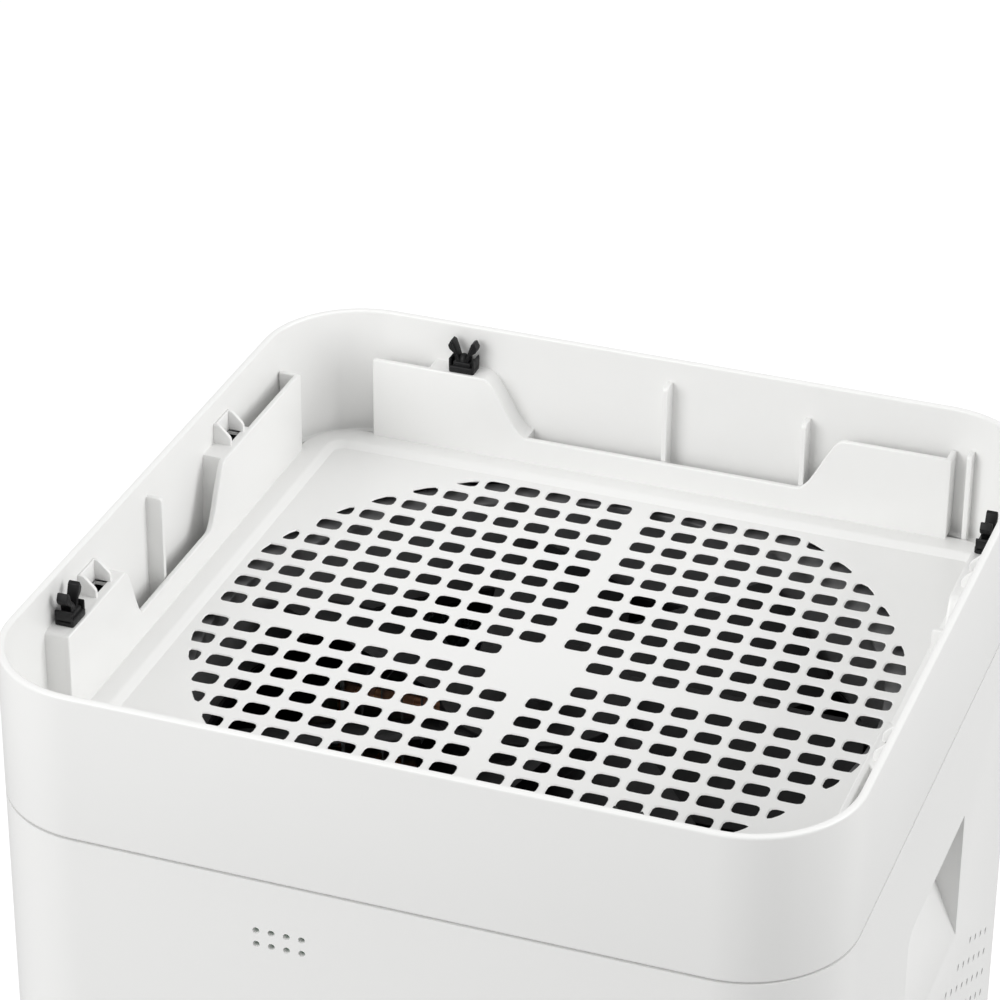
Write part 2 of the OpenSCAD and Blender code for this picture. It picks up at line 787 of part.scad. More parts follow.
module tank_front_panel() {
    panel_half = 104;
    cup_low = 142;
    cup_high = 166;
    cup_half = 46;
    cup_back = tank_front - 1;
    color(white) {
        difference() {
            block([-panel_half, -half, shell_bottom + 0.2], [panel_half, -inner, tank_low + fascia_h]);
            block([-cup_half, -half - 1, cup_low], [cup_half, -inner + 1, cup_high]);
            block([-88.2, -half - 1, 69.8], [-75.8, -inner + 1, 172.2]);
        }
        // Hand hold sunk into the panel
        difference() {
            block([-cup_half - 2, -inner - 0.5, cup_low - 2], [cup_half + 2, cup_back, cup_high + 2]);
            block([-cup_half, -half, cup_low], [cup_half, cup_back - 2, cup_high]);
        }
        // Ribs that join the panel to the tank
        for (x = [-98, -60, 60, 98])
            block([x - 1.2, -inner - 0.5, tank_low + 6], [x + 1.2, tank_front, tank_top - 6]);
        block([-cup_half, cup_back - 1, cup_low - 2], [cup_half, tank_front, cup_low]);
    }
}

module level_window() {
    color("#9fc3d8") translate([-82, 0, 0]) {
        block([-6, -half + 0.4, 70], [6, -inner, 172]);
        block([-8, -inner, 68], [8, -inner + 1.2, 174]);
    }
}

module tank_lid() {
    t = 2.4;
    color(trim_grey) difference() {
        union() {
            translate([0, 0, tank_top]) linear_extrude(3) tank_outline();
            translate([0, 0, tank_top - 4]) linear_extrude(5) difference() {
                tank_outline(t + gap);
                tank_outline(t + gap + 1.6);
            }
        }
        // Drip funnel and the pouring mouth
        translate([0, 5, tank_top - 1]) cylinder(r = 14, h = 6);
        block([-90, -112, tank_top - 1], [-42, -84, tank_top + 4]);
        // Room for the float's ears
        block([float_x - 9, 2, tank_top - 6], [float_x + 9, tank_back - t - gap + 0.2, tank_top]);
    }
}

module float_pin() {
    color(fin_grey) translate(float_pivot - [8.5, 0, 0]) rotate([0, 90, 0]) cylinder(r = 2, h = 17);
}

module tank_float() {
    reach = 44;
    drop = 40;
    arm_w = 6;
    color("#e9e4d4") translate(float_pivot) difference() {
        union() {
            translate([-arm_w / 2, 0, 0]) rotate([0, 90, 0]) cylinder(r = 4.4, h = arm_w);
            translate([-arm_w / 2, 0, 0]) rotate([90, 0, 90]) linear_extrude(arm_w)
                polygon([[-2.6, 3], [2.6, -3], [-reach + 2.6, -drop - 3], [-reach - 2.6, -drop + 3]]);
            block([-15, -reach - 16, -drop - 8], [15, -reach + 12, -drop + 8]);
        }
        translate([-10, 0, 0]) rotate([0, 90, 0]) cylinder(r = 2 + fit, h = 20);
    }
}

module level_sensor() {
    color(dark) block([float_x - 12, bay_back + 2.5, 120], [float_x + 12, bay_back + 3.3, 150]);
}

// ---------- electrics ----------

module control_box() {
    t = 2;
    color(trim_grey) difference() {
        block([-92, -128, shelf_z + 2.5], [12, -88, 300]);
        block([-92 + t, -128 + t, shelf_z + 2.5 + t], [12 - t, -88 + 1, 300 - t]);
    }
}

module control_box_lid() {
    color(trim_grey) block([-92, -88, shelf_z + 2.5], [12, -85.6, 300]);
}

module circuit_board() {
    color(board_green) {
        block([-86, -108, shelf_z + 8], [6, -106.4, 294]);
        block([-80, -106.4, 250], [-60, -96, 270]);
        block([-50, -106.4, 244], [-34, -94, 286]);
        for (x = [-24:12:0]) translate([x, -106.4, 262]) rotate([-90, 0, 0]) cylinder(r = 4.5, h = 12);
    }
}

module run_capacitor() {
    color("#d8dadb") {
        translate([60, -108, shelf_z + 2.5]) cylinder(r = 19, h = 66);
        for (x = [54, 66]) block([x - 3, -108.5, shelf_z + 68], [x + 3, -107.5, shelf_z + 78]);
    }
}

module humidity_sensor() {
    color(board_green) {
        block([-50, -inner + 0.01, deck_z - 34], [-20, -inner + 2, deck_z - 17]);
        block([-42, -inner + 2, deck_z - 31], [-28, -inner + 6, deck_z - 20]);
    }
}

module power_inlet() {
    deep = 20;
    color(black) translate([inlet_x, 0, inlet_z]) {
        difference() {
            union() {
                block([-18, half - 1.9, -14], [18, half - 0.1, 14]);
                block([-15, half - deep, -11], [15, half - 0.5, 11]);
            }
            block([-12.2, half - deep + 2, -8.3], [12.2, half + 3, 8.3]);
        }
        for (x = [-7, 0, 7])
            block([x - 1, half - deep + 1, x == 0 ? 0.5 : -4.5], [x + 1, half - 8, x == 0 ? 4.5 : -0.5]);
    }
}

// ---------- castors ----------

// Swivelling fork, its axle behind the stem
module castor_fork() {
    plate_z = 32;
    cheek_in = wheel_w / 2 + 0.8;
    cheek_t = 1.8;
    axle_half = cheek_in + cheek_t + 1;
    color(galvanised) {
        translate([0, 0, plate_z]) cylinder(r = 9, h = 3.4);
        translate([0, 0, plate_z + 1]) cylinder(r = shaft_r, h = floor_z - plate_z - 2);
        block([-cheek_in - cheek_t, -7, plate_z], [cheek_in + cheek_t, trail + 5, plate_z + 2]);
        for (s = [-1, 1]) translate([s * (cheek_in + cheek_t / 2) - cheek_t / 2, 0, 0])
            rotate([90, 0, 90]) linear_extrude(cheek_t)
                polygon([[-7, plate_z + 2], [trail + 5, plate_z + 2], [trail + 4.5, wheel_r - 3],
                         [trail - 4.5, wheel_r - 3], [-7, plate_z - 4]]);
        translate([-axle_half, trail, wheel_r]) rotate([0, 90, 0]) cylinder(r = 2, h = 2 * axle_half);
    }
}

module castor_wheel() {
    color(dark) translate([-wheel_w / 2, trail, wheel_r]) rotate([0, 90, 0]) difference() {
        cylinder(r = wheel_r, h = wheel_w);
        translate([0, 0, -1]) cylinder(r = 2 + fit, h = wheel_w + 2);
        for (z = [-eps, wheel_w - 2]) translate([0, 0, z]) difference() {
            cylinder(r = wheel_r - 3, h = 2 + eps);
            translate([0, 0, -1]) cylinder(r = 5, h = 5);
        }
    }
}

module castor_place(sx, sy) {
    translate([sx * castor_at, sy * castor_at, 0]) children();
}

module castor_fork_front_left() { castor_place(-1, -1) castor_fork(); }
module castor_fork_front_right() { castor_place(1, -1) castor_fork(); }
module castor_fork_back_left() { castor_place(-1, 1) castor_fork(); }
module castor_fork_back_right() { castor_place(1, 1) castor_fork(); }
module castor_wheel_front_left() { castor_place(-1, -1) castor_wheel(); }
module castor_wheel_front_right() { castor_place(1, -1) castor_wheel(); }
module castor_wheel_back_left() { castor_place(-1, 1) castor_wheel(); }
module castor_wheel_back_right() { castor_place(1, 1) castor_wheel(); }

top_collar();
grille_deck();
upstanding_plates();
cover_bosses();
tab_catches();
cover_clips();
body_shell();
rear_panel();
rear_screws();
intake_grille();
filter_frame();
filter_mesh();
fan_ring();
motor_bracket();
fan_motor();
fan_shaft();
fan_impeller();
impeller_nut();
condenser_fins();
condenser_tubes();
evaporator_fins();
evaporator_tubes();
compressor();
compressor_mounts();
suction_accumulator();
discharge_pipe();
liquid_pipe();
suction_pipe();
drip_tray();
drain_cap();
tank_bay();
base_pan();
water_tank();
tank_front_panel();
level_window();
tank_lid();
float_pin();
tank_float();
level_sensor();
control_box();
control_box_lid();
circuit_board();
run_capacitor();
humidity_sensor();
power_inlet();
castor_fork_front_left();
castor_fork_front_right();
castor_fork_back_left();
castor_fork_back_right();
castor_wheel_front_left();
castor_wheel_front_right();
castor_wheel_back_left();
castor_wheel_back_right();
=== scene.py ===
# %% [markdown]
# # A dehumidifier with its top cover lifted off
# The machine is a square white tower. With the cover off, the eye looks into a shallow tray: a deck
# full of small holes, a raised ledge round it, upstanding plates, and black clips that hold the cover.
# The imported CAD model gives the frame. Its moving bodies, sizes and places stay as they are. This
# lesson adds the soft edges and the finishes that a moulded part has and a CAD solid hasn't.

# %% Load the frame
import json
import math
import bmesh
import bpy
import numpy as np
from mathutils import Matrix, Vector


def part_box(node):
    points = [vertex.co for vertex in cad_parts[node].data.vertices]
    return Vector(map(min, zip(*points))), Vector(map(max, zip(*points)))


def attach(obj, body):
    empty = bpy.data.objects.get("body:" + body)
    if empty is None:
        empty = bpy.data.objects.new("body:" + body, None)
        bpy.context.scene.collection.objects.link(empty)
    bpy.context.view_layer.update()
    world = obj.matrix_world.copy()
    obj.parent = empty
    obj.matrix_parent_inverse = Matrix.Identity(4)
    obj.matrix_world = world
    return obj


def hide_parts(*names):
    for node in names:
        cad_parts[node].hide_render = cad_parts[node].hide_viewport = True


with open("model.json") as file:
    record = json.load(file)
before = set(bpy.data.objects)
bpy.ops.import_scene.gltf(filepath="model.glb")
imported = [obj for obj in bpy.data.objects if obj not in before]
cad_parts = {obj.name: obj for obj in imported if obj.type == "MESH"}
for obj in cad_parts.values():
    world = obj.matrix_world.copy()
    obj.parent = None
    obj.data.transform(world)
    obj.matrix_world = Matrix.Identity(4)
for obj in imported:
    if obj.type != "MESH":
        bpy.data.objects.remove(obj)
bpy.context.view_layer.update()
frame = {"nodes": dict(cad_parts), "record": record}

# %% [markdown]
# ## Sizes that the new pieces share
# Every length below is in millimetres, because a moulded part is drawn in millimetres. The sizes come
# from the CAD nodes' boxes, so that a new piece lands exactly on the part that it stands for.

# %% Shared sizes
MM = 0.001


def span(node):
    """Lowest and highest corner of a CAD node, in millimetres."""
    low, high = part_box(node)
    return np.array(low) / MM, np.array(high) / MM


half = span("top_collar")[1][0]
rim_z = span("top_collar")[1][2]
deck_z = span("grille_deck")[0][2] + 14
shell_high = span("body_shell")[1][2]
wall = 2.7
corner_r = 38
inner = half - wall
gap = 0.3
# the plates that stand on the ledge: their inner face, thickness, and two heights above the deck
plate_in, plate_t = 133.4, 2.2
plate_out = plate_in + plate_t
plate_high, plate_low = 34.4, 12
# the flange that carries the deck: its top and foot, below the deck
flange_top, flange_foot = -12, -14
print(f"body {2 * half:.0f} mm square, rim at {rim_z:.1f}, deck at {deck_z:.1f}, seam at {shell_high:.1f}")

# %% [markdown]
# ## Camera
# The camera looks down into the tray from the front right, about 30 degrees above the horizon, through
# a long lens, so that upright walls stay nearly parallel. A long lens from far away is what a
# catalogue photographer uses, because a near wide lens would make the front corner bulge.

# %% Camera
def aim_camera(place, target, roll_deg, lens):
    """Stands a camera at place and turns its -Z axis to the target; roll turns it about that line."""
    data = bpy.data.cameras.new("catalogue_camera")
    data.lens = lens
    data.sensor_width = 36
    data.clip_end = 50
    camera = bpy.data.objects.new("catalogue_camera", data)
    bpy.context.scene.collection.objects.link(camera)
    look = (Vector(target) - Vector(place)).to_track_quat("-Z", "Y").to_matrix()
    turned = look @ Matrix.Rotation(math.radians(roll_deg), 3, "Z")
    camera.matrix_world = Matrix.Translation(place) @ turned.to_4x4()
    bpy.context.scene.camera = camera
    return camera


camera_place = (0.37078, -1.07259, 1.21914)
aim_camera(camera_place, (0, -0.03746, 0.59609), 0.453, 139.94)
print("camera is", round(math.dist(camera_place, (0, 0, deck_z * MM)), 3), "m from the grille")

# %% [markdown]
# ## Studio
# White plastic in front of white paper needs light from nearly everywhere, or its shadows turn heavy.
# A bright even world does most of the work. One large soft lamp stands front left and lights what faces
# the front, and one stands on the right and lights what faces that way. Nothing stands between them, so
# the round corner that faces there is a tone darker. The view transform is the plain one: the filmic
# ones turn a white appliance grey.

# %% Studio
def soft_lamp(name, place, target, size, watts):
    """Square lamp of side `size` metres at place, facing the target."""
    data = bpy.data.lights.new(name, "AREA")
    data.size = size
    data.energy = watts
    lamp = bpy.data.objects.new(name, data)
    lamp.location = place
    lamp.rotation_euler = (Vector(target) - Vector(place)).to_track_quat("-Z", "Y").to_euler()
    bpy.context.scene.collection.objects.link(lamp)


world = bpy.data.worlds.new("studio_air")
world.use_nodes = True
world.node_tree.nodes["Background"].inputs["Color"].default_value = (1.0, 1.0, 1.0, 1)
world.node_tree.nodes["Background"].inputs["Strength"].default_value = 0.74
bpy.context.scene.world = world
bpy.context.scene.view_settings.view_transform = "Standard"
soft_lamp("key_front_left", (-1.3, -2.1, 1.7), (0, 0, 0.5), 1.6, 37)
soft_lamp("key_right", (2.4, 0.5, 1.6), (0, 0, 0.5), 1.6, 37)

# %% [markdown]
# ## Shared effects as node groups
# An effect that several finishes use is built once, with named inputs, and then placed in each finish
# with its own values. Noise in Object coordinates is measured in metres, so a scale of 1000 makes
# a spot about a millimetre wide, whichever piece it is on.

# %% Helpers for node groups
def new_group(name, inputs, outputs):
    """Empty shader group; inputs and outputs map a name to (socket type, first value)."""
    tree = bpy.data.node_groups.new(name, "ShaderNodeTree")
    for way, sockets in (("INPUT", inputs), ("OUTPUT", outputs)):
        for label, (kind, value) in sockets.items():
            socket = tree.interface.new_socket(label, in_out=way, socket_type="NodeSocket" + kind)
            if value is not None:
                socket.default_value = value
    ins, outs = tree.nodes.new("NodeGroupInput"), tree.nodes.new("NodeGroupOutput")
    return tree, ins.outputs, outs.inputs


def add_node(tree, kind, links=(), **settings):
    """Adds a node, sets its properties, and joins or sets the inputs given as (input, value)."""
    node = tree.nodes.new(kind)
    for key, value in settings.items():
        setattr(node, key, value)
    for key, value in links:
        if isinstance(value, bpy.types.NodeSocket):
            tree.links.new(value, node.inputs[key])
        else:
            node.inputs[key].default_value = value
    return node


def blend_colours(tree, share, first, second, blend="MIX"):
    """Result socket of a colour mix of first and second by share."""
    node = add_node(tree, "ShaderNodeMix", data_type="RGBA", blend_type=blend)
    for key, value in ((0, share), (6, first), (7, second)):
        if isinstance(value, bpy.types.NodeSocket):
            tree.links.new(value, node.inputs[key])
        else:
            node.inputs[key].default_value = value
    return node.outputs[2]


def spread(tree, value, low, high, to_low, to_high):
    """Result socket of a value moved from one range to another, held at its ends."""
    node = add_node(tree, "ShaderNodeMapRange", [(0, value), (1, low), (2, high), (3, to_low), (4, to_high)])
    return node.outputs[0]


# %% Grain of a moulded or cast surface
tree, given, made = new_group("moulded_grain",
    {"Scale": ("Float", 900.0), "Roughness": ("Float", 0.4), "Variation": ("Float", 0.05)},
    {"Height": ("Float", None), "Roughness": ("Float", None)})
place = add_node(tree, "ShaderNodeTexCoord").outputs["Object"]
fine = add_node(tree, "ShaderNodeTexNoise", [("Vector", place), ("Scale", given["Scale"]), ("Detail", 3.0)])
slow = add_node(tree, "ShaderNodeTexNoise", [("Vector", place), ("Scale", 22.0), ("Detail", 2.0)])
swing = add_node(tree, "ShaderNodeMath", [(0, slow.outputs[0]), (1, 0.5)], operation="SUBTRACT")
change = add_node(tree, "ShaderNodeMath",
                  [(0, swing.outputs[0]), (1, given["Variation"]), (2, given["Roughness"])],
                  operation="MULTIPLY_ADD")
tree.links.new(fine.outputs[0], made["Height"])
tree.links.new(change.outputs[0], made["Roughness"])
moulded_grain = tree

# %% Slow drift of tone over a surface
tree, given, made = new_group("tone_drift",
    {"Colour": ("Color", (0.8, 0.8, 0.8, 1)), "Other": ("Color", (0.7, 0.7, 0.7, 1)),
     "Scale": ("Float", 12.0), "Share": ("Float", 0.4)},
    {"Colour": ("Color", None)})
place = add_node(tree, "ShaderNodeTexCoord").outputs["Object"]
cloud = add_node(tree, "ShaderNodeTexNoise", [("Vector", place), ("Scale", given["Scale"]), ("Detail", 4.0)])
mask = spread(tree, cloud.outputs[0], 0.35, 0.7, 0.0, 1.0)
share = add_node(tree, "ShaderNodeMath", [(0, mask), (1, given["Share"])], operation="MULTIPLY")
tree.links.new(blend_colours(tree, share.outputs[0], given["Colour"], given["Other"]), made["Colour"])
tone_drift = tree

# %% Dust that settles on upward faces
tree, given, made = new_group("settled_dust",
    {"Colour": ("Color", (0.8, 0.8, 0.8, 1)), "Dust": ("Color", (0.6, 0.58, 0.55, 1)),
     "Amount": ("Float", 0.1)},
    {"Colour": ("Color", None)})
normal = add_node(tree, "ShaderNodeNewGeometry").outputs["Normal"]
facing = add_node(tree, "ShaderNodeSeparateXYZ", [(0, normal)])
upward = spread(tree, facing.outputs["Z"], 0.3, 1.0, 0.0, 1.0)
place = add_node(tree, "ShaderNodeTexCoord").outputs["Object"]
specks = add_node(tree, "ShaderNodeTexNoise", [("Vector", place), ("Scale", 160.0), ("Detail", 6.0)])
patchy = spread(tree, specks.outputs[0], 0.45, 0.75, 0.0, 1.0)
both = add_node(tree, "ShaderNodeMath", [(0, upward), (1, patchy)], operation="MULTIPLY")
share = add_node(tree, "ShaderNodeMath", [(0, both.outputs[0]), (1, given["Amount"])], operation="MULTIPLY")
tree.links.new(blend_colours(tree, share.outputs[0], given["Colour"], given["Dust"]), made["Colour"])
settled_dust = tree

# %% Painted highlight on the sharp edges of a dark or painted part
tree, given, made = new_group("lit_edges",
    {"Colour": ("Color", (0.1, 0.1, 0.1, 1)), "Worn": ("Color", (0.3, 0.3, 0.3, 1)),
     "Amount": ("Float", 0.5)},
    {"Colour": ("Color", None), "Edge": ("Float", None)})
# painted highlight: convex sharp edges, found by pointiness, are mixed towards a lighter colour
sharp = spread(tree, add_node(tree, "ShaderNodeNewGeometry").outputs["Pointiness"], 0.52, 0.62, 0.0, 1.0)
share = add_node(tree, "ShaderNodeMath", [(0, sharp), (1, given["Amount"])], operation="MULTIPLY")
tree.links.new(blend_colours(tree, share.outputs[0], given["Colour"], given["Worn"]), made["Colour"])
tree.links.new(share.outputs[0], made["Edge"])
lit_edges = tree

# %% Lines left by rolling, drawing or turning metal
tree, given, made = new_group("drawn_lines",
    {"Stretch": ("Vector", (1.0, 1.0, 30.0)), "Scale": ("Float", 60.0), "Roughness": ("Float", 0.3),
     "Variation": ("Float", 0.15)},
    {"Height": ("Float", None), "Roughness": ("Float", None)})
place = add_node(tree, "ShaderNodeTexCoord").outputs["Object"]
drawn = add_node(tree, "ShaderNodeMapping", [("Vector", place), ("Scale", given["Stretch"])])
lines = add_node(tree, "ShaderNodeTexNoise",
                 [("Vector", drawn.outputs[0]), ("Scale", given["Scale"]), ("Detail", 4.0)])
swing = add_node(tree, "ShaderNodeMath", [(0, lines.outputs[0]), (1, 0.5)], operation="SUBTRACT")
change = add_node(tree, "ShaderNodeMath",
                  [(0, swing.outputs[0]), (1, given["Variation"]), (2, given["Roughness"])],
                  operation="MULTIPLY_ADD")
tree.links.new(lines.outputs[0], made["Height"])
tree.links.new(change.outputs[0], made["Roughness"])
drawn_lines = tree
print("effects:", [g.name for g in bpy.data.node_groups])

# %% [markdown]
# ## Finishes
# Each of the record's material slots becomes one finish. White and dark plastics share one recipe:
# a slow drift of tone, a little dust on faces that look up, and a very fine grain. What is the same all
# over a surface, such as how much light its clear skin throws back, is set on the shader itself.

# %% Recipe for plastics, rubber and paint
finish = {}


def begin_finish(slot):
    """New material named after its slot: returns its tree and its shader's inputs."""
    material = bpy.data.materials.new("finish_" + slot)
    material.use_nodes = True
    finish[slot] = material
    return material.node_tree, material.node_tree.nodes["Principled BSDF"].inputs


def use_group(tree, group, **values):
    """Places a shared effect in a finish, with its own values, and returns its outputs."""
    node = add_node(tree, "ShaderNodeGroup", node_tree=group)
    for key, value in values.items():
        if isinstance(value, bpy.types.NodeSocket):
            tree.links.new(value, node.inputs[key])
        else:
            node.inputs[key].default_value = value
    return node.outputs


def press_in(tree, shader, height, depth_mm):
    """Joins a height to the shader's normal through a bump of that depth."""
    bump = add_node(tree, "ShaderNodeBump",
                    [("Height", height), ("Strength", 1.0), ("Distance", depth_mm * MM)])
    tree.links.new(bump.outputs[0], shader["Normal"])


def moulded_finish(slot, colour, other, roughness, variation=0.08, share=0.4, grain=900.0, depth=0.01,
                   dust=0.0, edge_light=None, coat=0.0):
    """Plastic, rubber or paint: drift of tone, then a painted highlight on sharp edges or dust, then grain in
    gloss and relief.
    """
    tree, shader = begin_finish(slot)
    shade = use_group(tree, tone_drift, Colour=(*colour, 1), Other=(*other, 1), Share=share)["Colour"]
    # painted highlight on the sharp edges
    if edge_light:
        shade = use_group(tree, lit_edges, Colour=shade, Worn=(*edge_light, 1))["Colour"]
    if dust:
        shade = use_group(tree, settled_dust, Colour=shade, Amount=dust)["Colour"]
    surface = use_group(tree, moulded_grain, Scale=grain, Roughness=roughness, Variation=variation)
    tree.links.new(shade, shader["Base Color"])
    tree.links.new(surface["Roughness"], shader["Roughness"])
    shader["Coat Weight"].default_value = coat
    shader["Coat Roughness"].default_value = 0.2
    press_in(tree, shader, surface["Height"], depth)
    return tree, shader


# %% Plastics, rubber and paint
moulded_finish("white_shell", (0.84, 0.84, 0.83), (0.82, 0.82, 0.81), 0.36, grain=1400.0, depth=0.004,
               coat=0.15)
# painted highlight: the clip's sharp edges get a lighter black
_, clip_shader = moulded_finish("black_clip", (0.004, 0.004, 0.0045), (0.008, 0.008, 0.009), 0.45,
                                grain=2200.0, depth=0.01, edge_light=(0.03, 0.03, 0.03))
clip_shader["Specular IOR Level"].default_value = 0.25
# painted shade: the fan ring gets a dark grey so that, seen through the deck's holes, it looks as shaded as
# it is under the deck
moulded_finish("ring_grey", (0.14, 0.14, 0.143), (0.18, 0.18, 0.182), 0.5, grain=1600.0, depth=0.012,
               dust=0.1)
moulded_finish("grey_plastic", (0.55, 0.56, 0.57), (0.5, 0.51, 0.52), 0.45, grain=1600.0, depth=0.012,
               dust=0.15)
# painted highlight: the dark plastic's sharp edges get a lighter grey
moulded_finish("dark_plastic", (0.03, 0.031, 0.033), (0.05, 0.05, 0.052), 0.5, grain=1800.0, depth=0.02,
               dust=0.25, edge_light=(0.1, 0.1, 0.1))
# painted shade: a near-black finish for the fan, its bracket and its motor, which stand in the dark under the
# grille
moulded_finish("dark_fan", (0.008, 0.008, 0.009), (0.014, 0.014, 0.015), 0.55, grain=1800.0, depth=0.02,
               dust=0.02)
# painted highlight: the black paint's sharp edges get a lighter warm grey
moulded_finish("black_paint", (0.018, 0.018, 0.019), (0.03, 0.03, 0.03), 0.33, grain=320.0, depth=0.04,
               coat=0.4, edge_light=(0.12, 0.11, 0.1))
moulded_finish("black_rubber", (0.022, 0.022, 0.022), (0.04, 0.039, 0.038), 0.72, grain=1200.0, depth=0.03,
               dust=0.3)
moulded_finish("float_foam", (0.78, 0.75, 0.66), (0.72, 0.69, 0.6), 0.85, grain=700.0, depth=0.12)
print("plastics:", sorted(finish))

# %% [markdown]
# The tank is clear plastic that looks slightly smoky, and the level window is the same with a blue
# tint. Light passes through both, so part of the shader's light is transmitted. Their grain is very
# shallow, because a clear part is moulded in a polished tool.

# %% Clear plastics
for slot, tint, through in (("tank_plastic", (0.80, 0.86, 0.89), 0.55),
                            ("window_plastic", (0.45, 0.66, 0.80), 0.7)):
    deeper = tuple(0.95 * c for c in tint)
    tree, shader = moulded_finish(slot, tint, deeper, 0.16, variation=0.06, grain=260.0, depth=0.01)
    shader["Transmission Weight"].default_value = through
    shader["IOR"].default_value = 1.49

# %% [markdown]
# Metals keep the lines of how they were made: sheet is rolled, a tube is drawn, a motor's can is
# pressed. The lines change the gloss along one direction. Galvanised sheet also shows spangle, the
# patches of frozen zinc, which a cell pattern gives. Copper tube darkens in patches as it ages.

# %% Metals
def metal_finish(slot, colour, other, roughness, stretch, scale=60.0, depth=0.006, spangle=0.0, share=0.5):
    """Metal: tone drifts between two colours, lines along one direction, and cells of spangle on zinc."""
    tree, shader = begin_finish(slot)
    drift = use_group(tree, tone_drift, Colour=(*colour, 1), Other=(*other, 1), Scale=18.0, Share=share)
    shade = drift["Colour"]
    if spangle:
        place = add_node(tree, "ShaderNodeTexCoord").outputs["Object"]
        cells = add_node(tree, "ShaderNodeTexVoronoi", [("Vector", place), ("Scale", 130.0)])
        tone = add_node(tree, "ShaderNodeSeparateColor", [(0, cells.outputs["Color"])])
        dark = tuple(0.72 * c for c in colour)
        flake = add_node(tree, "ShaderNodeMath", [(0, tone.outputs[0]), (1, spangle)], operation="MULTIPLY")
        shade = blend_colours(tree, flake.outputs[0], shade, (*dark, 1))
    surface = use_group(tree, drawn_lines, Stretch=stretch, Scale=scale, Roughness=roughness)
    tree.links.new(shade, shader["Base Color"])
    tree.links.new(surface["Roughness"], shader["Roughness"])
    shader["Metallic"].default_value = 1.0
    press_in(tree, shader, surface["Height"], depth)


metal_finish("zinc_steel", (0.62, 0.63, 0.64), (0.5, 0.51, 0.52), 0.34, (1.0, 1.0, 14.0), spangle=0.6)
metal_finish("motor_steel", (0.56, 0.57, 0.58), (0.46, 0.47, 0.48), 0.3, (1.0, 1.0, 40.0), scale=40.0)
metal_finish("copper", (0.72, 0.36, 0.2), (0.45, 0.2, 0.12), 0.3, (30.0, 1.0, 1.0), scale=50.0)
metal_finish("fin_aluminium", (0.8, 0.82, 0.84), (0.7, 0.72, 0.74), 0.32, (1.0, 30.0, 1.0), scale=50.0,
             share=0.3)

# %% [markdown]
# The filter is a net of fine plastic thread, woven square. Two sets of waves that cross at right angles
# give the threads: the greater of their heights is low between the threads and high on them. The
# circuit board is green lacquer over copper tracks, which run along a board in straight lines.

# %% Filter net
tree, shader = begin_finish("filter_net")
place = add_node(tree, "ShaderNodeTexCoord").outputs["Object"]
threads = []
for axis in ("X", "Z"):
    wave = add_node(tree, "ShaderNodeTexWave", [("Vector", place), ("Scale", 220.0)], bands_direction=axis)
    threads.append(spread(tree, wave.outputs["Fac"], 0.45, 0.95, 0.0, 1.0))
weave = add_node(tree, "ShaderNodeMath", [(0, threads[0]), (1, threads[1])], operation="MAXIMUM")
colour = blend_colours(tree, weave.outputs[0], (0.09, 0.1, 0.11, 1), (0.42, 0.45, 0.48, 1))
tree.links.new(colour, shader["Base Color"])
shader["Roughness"].default_value = 0.7
press_in(tree, shader, weave.outputs[0], 0.25)

# %% Circuit board
tree, shader = begin_finish("circuit_green")
place = add_node(tree, "ShaderNodeTexCoord").outputs["Object"]
turned = add_node(tree, "ShaderNodeMapping", [("Vector", place), ("Rotation", (math.pi / 2, 0, 0))])
tracks = add_node(tree, "ShaderNodeTexBrick",
                  [("Vector", turned.outputs[0]), ("Scale", 90.0), ("Mortar Size", 0.04)])
colour = blend_colours(tree, tracks.outputs["Fac"], (0.015, 0.12, 0.05, 1), (0.08, 0.3, 0.14, 1))
tree.links.new(colour, shader["Base Color"])
surface = use_group(tree, moulded_grain, Scale=300.0, Roughness=0.3, Variation=0.1)
tree.links.new(surface["Roughness"], shader["Roughness"])
press_in(tree, shader, tracks.outputs["Fac"], 0.03)
print("finishes made:", sorted(finish))

# %% Give every CAD node its finish
slot_of = {row["node"]: row["material_slot"] for row in frame["record"]["subparts"]}
# painted shade: the fan stands in the dark under the grille, so its parts get a darker finish than others of
# their slot
finish_of = {**slot_of, "fan_impeller": "dark_fan", "motor_bracket": "dark_fan", "fan_motor": "dark_fan"}
for name, node in sorted(frame["nodes"].items()):
    node.material_slots[0].material = finish[finish_of[name]]
print("finishes:", len(finish), "on", len(frame["nodes"]), "nodes")

# %% [markdown]
# ## Tools for moulded shapes
# A moulded part has no true sharp edge. Each tool below takes a shape as rows of numbers and rounds it
# as it is made: a closed profile carried round the body's square outline, or an outline pushed
# through a thickness. Whole rows are worked out at once, and the faces are one table of corners.

# %% From numbers to a piece
def put_piece(name, points, faces, body, slot, stands_for=(), sharp_deg=38):
    """Makes a piece from points in millimetres and faces, merges doubles, and turns faces outwards."""
    mesh = bpy.data.meshes.new(name)
    mesh.from_pydata((np.asarray(points) * MM).tolist(), [], [list(map(int, f)) for f in faces])
    work = bmesh.new()
    work.from_mesh(mesh)
    bmesh.ops.remove_doubles(work, verts=work.verts, dist=2e-6)
    bmesh.ops.recalc_face_normals(work, faces=work.faces)
    work.to_mesh(mesh)
    work.free()
    mesh.shade_smooth()
    mesh.set_sharp_from_angle(angle=math.radians(sharp_deg))
    mesh.materials.append(finish[slot])
    piece = bpy.data.objects.new(name, mesh)
    bpy.context.scene.collection.objects.link(piece)
    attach(piece, body)
    for node in stands_for:
        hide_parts(node)
    print(f"{name}: {len(mesh.vertices)} points, {len(mesh.polygons)} faces")
    return piece


def put_together(parts):
    """Joins (points, faces) pairs into one pair, counting each part's corners on from the last."""
    points, faces, first = [], [], 0
    for p, f in parts:
        points.append(np.asarray(p, float))
        faces += [[c + first for c in face] for face in f]
        first += len(p)
    return np.concatenate(points), faces


